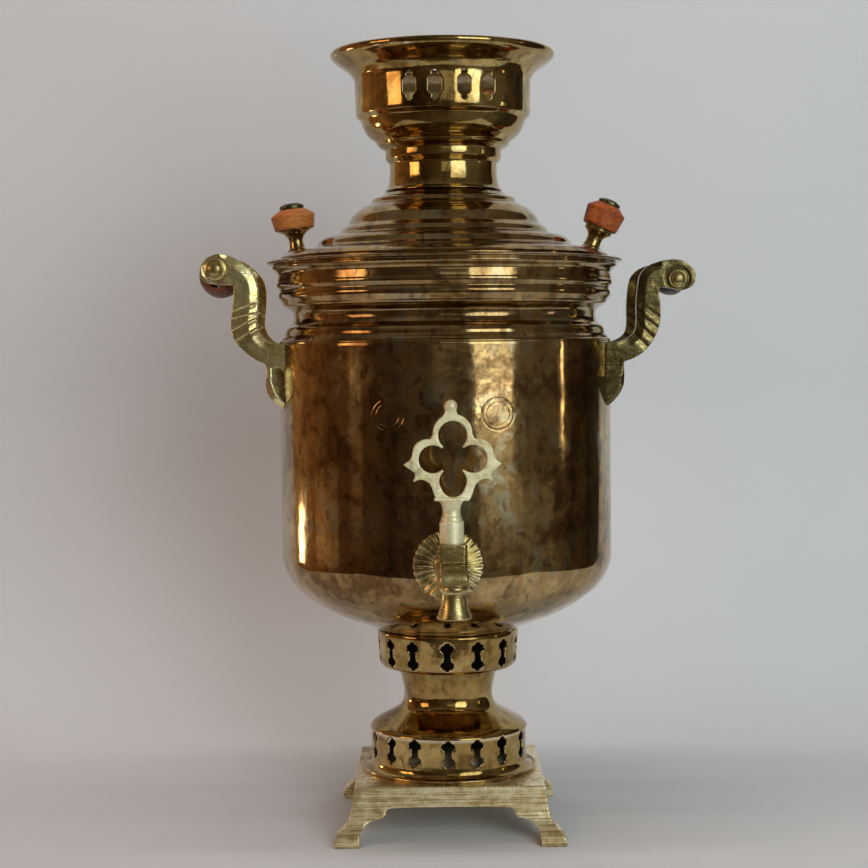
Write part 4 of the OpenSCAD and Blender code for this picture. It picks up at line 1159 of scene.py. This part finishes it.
GOLD = ((0.20, 0.12, 0.036), (0.44, 0.29, 0.095), (0.66, 0.48, 0.19))
MATS = {
    "brass_dark": sheet_brass("brass_dark", (0.19, 0.105, 0.042), (0.43, 0.285, 0.12), (0.66, 0.48, 0.22), (0.40, 0.375, 0.26),
                              (0.05, 0.15), 0.47, stamps=True),
    "brass_gold": sheet_brass("brass_gold", *GOLD, (0.34, 0.30, 0.15), (0.04, 0.12), 0.50, turned=0.12, wipes=0.6),
    "brass_cast": cast_brass("brass_cast", (0.28, 0.21, 0.075), (0.52, 0.42, 0.17), (0.72, 0.62, 0.30), (0.20, 0.38)),
    "brass_bright": cast_brass("brass_bright", (0.58, 0.47, 0.23), (0.80, 0.70, 0.41), (0.92, 0.84, 0.57), (0.34, 0.5), (900, 900, 900), 0.5, 0.6, metal=0.62),
    "cap_dark": cast_brass("cap_dark", (0.07, 0.07, 0.035), (0.15, 0.15, 0.08), (0.30, 0.29, 0.16), (0.26, 0.45), (400, 400, 400), 0.4, 0.5),
    "iron_grate": iron("iron_grate"),
    "wood_orange": wood("wood_orange", (0.19, 0.050, 0.010), (0.40, 0.125, 0.026), (0.58, 0.23, 0.062)),
    "wood_red": wood("wood_red", (0.09, 0.016, 0.005), (0.31, 0.064, 0.014), (0.46, 0.13, 0.030)),
    "wood_grip_left": wood("wood_grip_left", (0.06, 0.014, 0.009), (0.14, 0.035, 0.018), (0.24, 0.08, 0.04), "Y"),
    "wood_grip_right": wood("wood_grip_right", (0.02, 0.010, 0.006), (0.05, 0.022, 0.013), (0.14, 0.07, 0.04), "Y"),
}
# the same finishes as they look on one piece: soot inside the air ways, file marks on the base, brighter ribs, painted
# highlights on the slots' cut edges, and painted light and shade on the handle brackets
PEDESTAL = sheet_brass("brass_gold_sooty", *GOLD, (0.34, 0.30, 0.15), (0.04, 0.12), 0.50, turned=0.12, wipes=0.6,
                       soot=(0.97, (0.012, 0.010, 0.008), 0.75, 0.9), rim_highlight=0.8)
CROWN = sheet_brass("brass_gold_crown", *GOLD, (0.36, 0.33, 0.17), (0.04, 0.12), 0.50, turned=0.12, wipes=0.6, soot=(0.6, (0.10, 0.07, 0.035), 0.2, 0.1), rim_highlight=0.8)
# painted light and shade: the left pair of brackets is painted lighter and the right pair darker than the cast brass,
# for the light that falls on each side
BRACKET_L_PAINTED_LIGHT = cast_brass("brass_cast_left", (0.48, 0.37, 0.14), (0.84, 0.70, 0.32), (0.96, 0.88, 0.52), (0.20, 0.36), grain=0.2, old=0.4)
BRACKET_R_PAINTED_SHADE = cast_brass("brass_cast_right", (0.14, 0.105, 0.038), (0.24, 0.19, 0.08), (0.44, 0.37, 0.17), (0.16, 0.30), grain=0.2)
BASE = cast_brass("brass_cast_base", (0.42, 0.30, 0.13), (0.80, 0.64, 0.34), (0.98, 0.88, 0.58), (0.22, 0.40), (26, 26, 1500), 0.9, 0.4,
                  tone=0.95, pit=(-0.0144, 0.0265), old=0.25, metal=0.8)
ROSETTE = cast_brass("brass_cast_rosette", (0.34, 0.26, 0.09), (0.72, 0.61, 0.30), (0.92, 0.84, 0.54), (0.15, 0.28), (300, 300, 300), 0.3, 0.3)
STEM = sheet_brass("brass_stem", (0.20, 0.14, 0.055), (0.46, 0.34, 0.14), (0.66, 0.53, 0.26), (0.34, 0.30, 0.15), (0.12, 0.26), 0.50, turned=0.12, wipes=0.6)
PIECE_FINISHES = {"air_collar_vis": PEDESTAL, "pedestal_bell_vis": PEDESTAL, "pedestal_drum_vis": PEDESTAL, "crown_vis": CROWN,
         "bracket_left_front_vis": BRACKET_L_PAINTED_LIGHT, "bracket_left_rear_vis": BRACKET_L_PAINTED_LIGHT, "bracket_right_front_vis": BRACKET_R_PAINTED_SHADE, "bracket_right_rear_vis": BRACKET_R_PAINTED_SHADE,
         "base_casting_vis": BASE, "tap_rosette_vis": ROSETTE, "lid_knob_stem_left_vis": STEM, "lid_knob_stem_right_vis": STEM}
slot_of = {s["node"]: s["material_slot"] for s in frame["record"]["subparts"]}
for o in list(bpy.context.scene.objects):
    if o.type != "MESH":
        continue
    sname = o.get("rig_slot") or slot_of.get(o.name)
    if sname not in MATS:
        continue
    finish = PIECE_FINISHES.get(o.name, MATS[sname])
    if len(o.material_slots) == 0:
        o.data.materials.append(finish)
    else:
        for ms in o.material_slots:
            ms.material = finish

# ------------------------------------------------------------------ floor and backdrop
def strip(name, path, xs, mat, glossy=True):
    """a sheet along a (y, z) path between the sides in xs"""
    m = len(path)
    verts = [(x, y, z - 0.0002) for x in xs for y, z in path]
    faces = [(i * m + j, (i + 1) * m + j, (i + 1) * m + j + 1, i * m + j + 1) for i in range(len(xs) - 1) for j in range(m - 1)]
    me = bpy.data.meshes.new(name)
    me.from_pydata(verts, [], faces)
    me.polygons.foreach_set("use_smooth", [True] * len(faces))
    ob = bpy.data.objects.new(name, me)
    bpy.context.scene.collection.objects.link(ob)
    ob.visible_glossy = glossy
    me.materials.append(mat)
    return ob


def backdrop():
    M = Mat("backdrop")
    col = M.ramp(M.noise(3, 3, 0.5), [(0.3, (0.55, 0.55, 0.55)), (0.7, (0.58, 0.58, 0.58))])
    M.out(col, 0.85, M.bump(M.noise(300, 4, 0.6), 0.04, 0.001), 0.0, Specular_IOR_Level=0.0)
    # the paper is seen only from its front, so that it doesn't hide the object from behind
    geo = M.n("ShaderNodeNewGeometry")
    clear = M.n("ShaderNodeBsdfTransparent")
    mixer = M.n("ShaderNodeMixShader")
    outn = [n for n in M.t.nodes if n.type == "OUTPUT_MATERIAL"][0]
    M.t.links.new(geo.outputs["Backfacing"], mixer.inputs[0])
    M.t.links.new(M.b.outputs[0], mixer.inputs[1])
    M.t.links.new(clear.outputs[0], mixer.inputs[2])
    M.t.links.new(mixer.outputs[0], outn.inputs["Surface"])
    F = Mat("floor_far")
    F.out(F.ramp(F.noise(3, 3, 0.5), [(0.3, (0.55, 0.55, 0.55)), (0.7, (0.58, 0.58, 0.58))]), 0.85, F.bump(F.noise(300, 4, 0.6), 0.04, 0.001), 0.0, Specular_IOR_Level=0.0)
    wy, rad = 0.40, 0.26
    cove = [(wy - rad + rad * math.sin(math.pi / 2 * i / 24), rad - rad * math.cos(math.pi / 2 * i / 24)) for i in range(1, 25)]
    path = [(-0.35, 0.0), (0.0, 0.0), (wy - rad, 0.0)] + cove + [(wy, 2.2)]
    strip("paper_middle", path, [-0.56, 0.0, 0.56], M.m)
    strip("paper_left", path, [-2.8, -0.56], M.m, False)
    strip("paper_right", path, [0.56, 2.8], M.m, False)
    strip("floor_front", [(-2.8, 0.0), (-0.35, 0.0)], [-2.8, 2.8], F.m, False)
    strip("wall_front", [(-2.8, 2.2), (-2.8, 0.0)], [-2.8, 2.8], F.m, False)
    for sx in (-1, 1):
        me = bpy.data.meshes.new("wall_side")
        me.from_pydata([(2.8 * sx, -2.8, -0.0002), (2.8 * sx, wy, -0.0002), (2.8 * sx, wy, 2.2), (2.8 * sx, -2.8, 2.2)], [], [(0, 1, 2, 3)])
        ob = bpy.data.objects.new("wall_side_%d" % (sx + 1), me)
        bpy.context.scene.collection.objects.link(ob)
        ob.visible_glossy = False
        me.materials.append(F.m)


backdrop()


# ------------------------------------------------------------------ lights
def area(name, az, dist, z0, z1, w, radiance, color=(1, 1, 1), aim=None, glossy=True, diffuse=True):
    """a soft upright window; az in degrees from the tap's side towards +X, z0 and z1 its lower and upper edge"""
    L = bpy.data.lights.new(name, "AREA")
    L.shape = "RECTANGLE"
    L.size, L.size_y = w, z1 - z0
    L.energy = radiance * 4 * w * (z1 - z0)
    L.color = color
    o = bpy.data.objects.new(name, L)
    bpy.context.scene.collection.objects.link(o)
    a = math.radians(az)
    o.location = (dist * math.sin(a), -dist * math.cos(a), (z0 + z1) / 2)
    if aim is None:
        aim = (0, 0, o.location.z)
    o.rotation_euler = (Vector(aim) - o.location).to_track_quat("-Z", "Y").to_euler()
    o.visible_glossy = glossy
    o.visible_diffuse = diffuse
    o.visible_camera = False
    return o


# the daylight that falls on the wall and floor, and the windows as the polished brass mirrors them
area("daylight_right", 20, 1.5, 0.12, 0.98, 0.8, 6.9, (0.78, 0.935, 1.0), glossy=False)
area("daylight_top", 0, 0.25, 1.8, 1.9, 1.8, 18.0, (1.0, 0.94, 0.91), aim=(0, 0.1, 0), glossy=False)
area("lamp_left", -50, 1.2, 0.9, 1.3, 0.8, 2.3, (1.0, 0.34, 0.08), aim=(-0.3, 0.4, 0.3), glossy=False)
area("mirror_right", 31.5, 1.7, 0.325, 1.15, 0.92, 2.1, (0.90, 1.0, 0.98), diffuse=False)
area("mirror_right_sill", 31.5, 1.71, 0.285, 0.325, 0.90, 0.6, (0.94, 1.0, 0.96), diffuse=False)
area("mirror_right_sash", 31.5, 1.74, 0.215, 0.290, 0.88, 0.22, (0.94, 1.0, 0.98), diffuse=False)
area("mirror_right_pane", 31.5, 1.72, 0.205, 0.236, 0.76, 5.0, (0.92, 1.0, 0.98), diffuse=False)
area("mirror_right_mid", 32.5, 1.73, 0.130, 0.208, 0.72, 0.38, (0.94, 1.0, 0.94), diffuse=False)
area("mirror_right_low", 34, 1.745, 0.085, 0.156, 0.80, 0.15, (1.0, 0.96, 0.86), diffuse=False)
area("mirror_right_foot", 36, 1.76, -0.05, 0.095, 0.90, 0.10, (1.0, 0.95, 0.82), diffuse=False)
area("mirror_right_haze", 62, 1.78, -0.05, 0.080, 0.80, 0.07, (1.0, 0.92, 0.76), diffuse=False)
area("mirror_right_edge", 84, 1.7, 0.145, 0.50, 0.045, 3.2, (1.0, 0.88, 0.66), diffuse=False)
area("mirror_centre", 22, 1.9, 0.235, 0.345, 2.2, 0.075, (0.95, 1.0, 1.0), diffuse=False)
area("mirror_centre_high", 6, 1.9, 0.52, 0.86, 0.62, 0.28, (0.95, 1.0, 0.92), diffuse=False)
area("mirror_left", -65, 1.7, 0.335, 0.95, 0.62, 2.2, (1.0, 0.62, 0.33), diffuse=False)
area("mirror_left_strip", -62, 1.72, 0.03, 0.335, 0.26, 0.075, (1.0, 0.72, 0.50), diffuse=False)
area("mirror_left_low", -88, 1.5, -0.04, 0.13, 0.55, 0.12, (1.0, 0.72, 0.46), diffuse=False)
area("mirror_far_left", -114, 0.80, 0.065, 0.125, 0.085, 9.0, (1.0, 0.86, 0.62), diffuse=False)

w = bpy.data.worlds.new("room")
bpy.context.scene.world = w
w.use_nodes = True


class WorldNodes(Mat):
    def __init__(self, world):
        self.m = world
        self.t = world.node_tree
        self.obj = self.t.nodes.new("ShaderNodeTexCoord").outputs["Generated"]


W = WorldNodes(w)
sp = W.n("ShaderNodeSeparateXYZ")
W.put(sp.inputs[0], W.obj)
turn = W.math("ARCTAN2", sp.outputs[0], W.math("MULTIPLY", sp.outputs[1], -1.0))
turn = W.math("MULTIPLY_ADD", turn, 0.5 / math.pi, 0.5)
room = W.ramp(turn, [(0.0, (0.30, 0.29, 0.28)), (0.105, (0.28, 0.20, 0.13)), (0.15, (0.36, 0.19, 0.08)), (0.21, (0.24, 0.115, 0.048)),
                     (0.28, (0.11, 0.058, 0.030)), (0.39, (0.058, 0.038, 0.024)), (0.5, (0.105, 0.090, 0.072)),
                     (0.61, (0.17, 0.155, 0.125)), (0.72, (0.12, 0.105, 0.080)), (0.765, (0.060, 0.045, 0.030)), (0.88, (0.05, 0.04, 0.03)),
                     (0.92, (0.25, 0.24, 0.23)), (1.0, (0.30, 0.29, 0.28))])
blot = W.rng(W.noise(3.2, 4, 0.6, 0.5), 0.3, 0.7, 0.45, 1.45)
room = W.mix(1.0, room, W.mix(blot, (0, 0, 0), (1, 1, 1)), "MULTIPLY")
room = W.mix(W.rng(sp.outputs[2], 0.30, 0.85, 0.0, 1.0, True), room, (0.165, 0.145, 0.122))
bg = w.node_tree.nodes["Background"]
W.put(bg.inputs[0], room)
bg.inputs[1].default_value = 1.0
bpy.context.scene.view_settings.view_transform = "Standard"

# ------------------------------------------------------------------ camera
cam = bpy.data.cameras.new("camera")
co = bpy.data.objects.new("camera", cam)
bpy.context.scene.collection.objects.link(co)
cam.sensor_width = 36
cam.lens = 76.2
cam.clip_start = 0.05
co.location = (-0.0071, -1.1, 0.28465)
co.rotation_euler = (Matrix.Rotation(math.radians(87.3), 3, 'X') @ Matrix.Rotation(math.radians(-0.58), 3, 'Z')).to_euler()
bpy.context.scene.camera = co
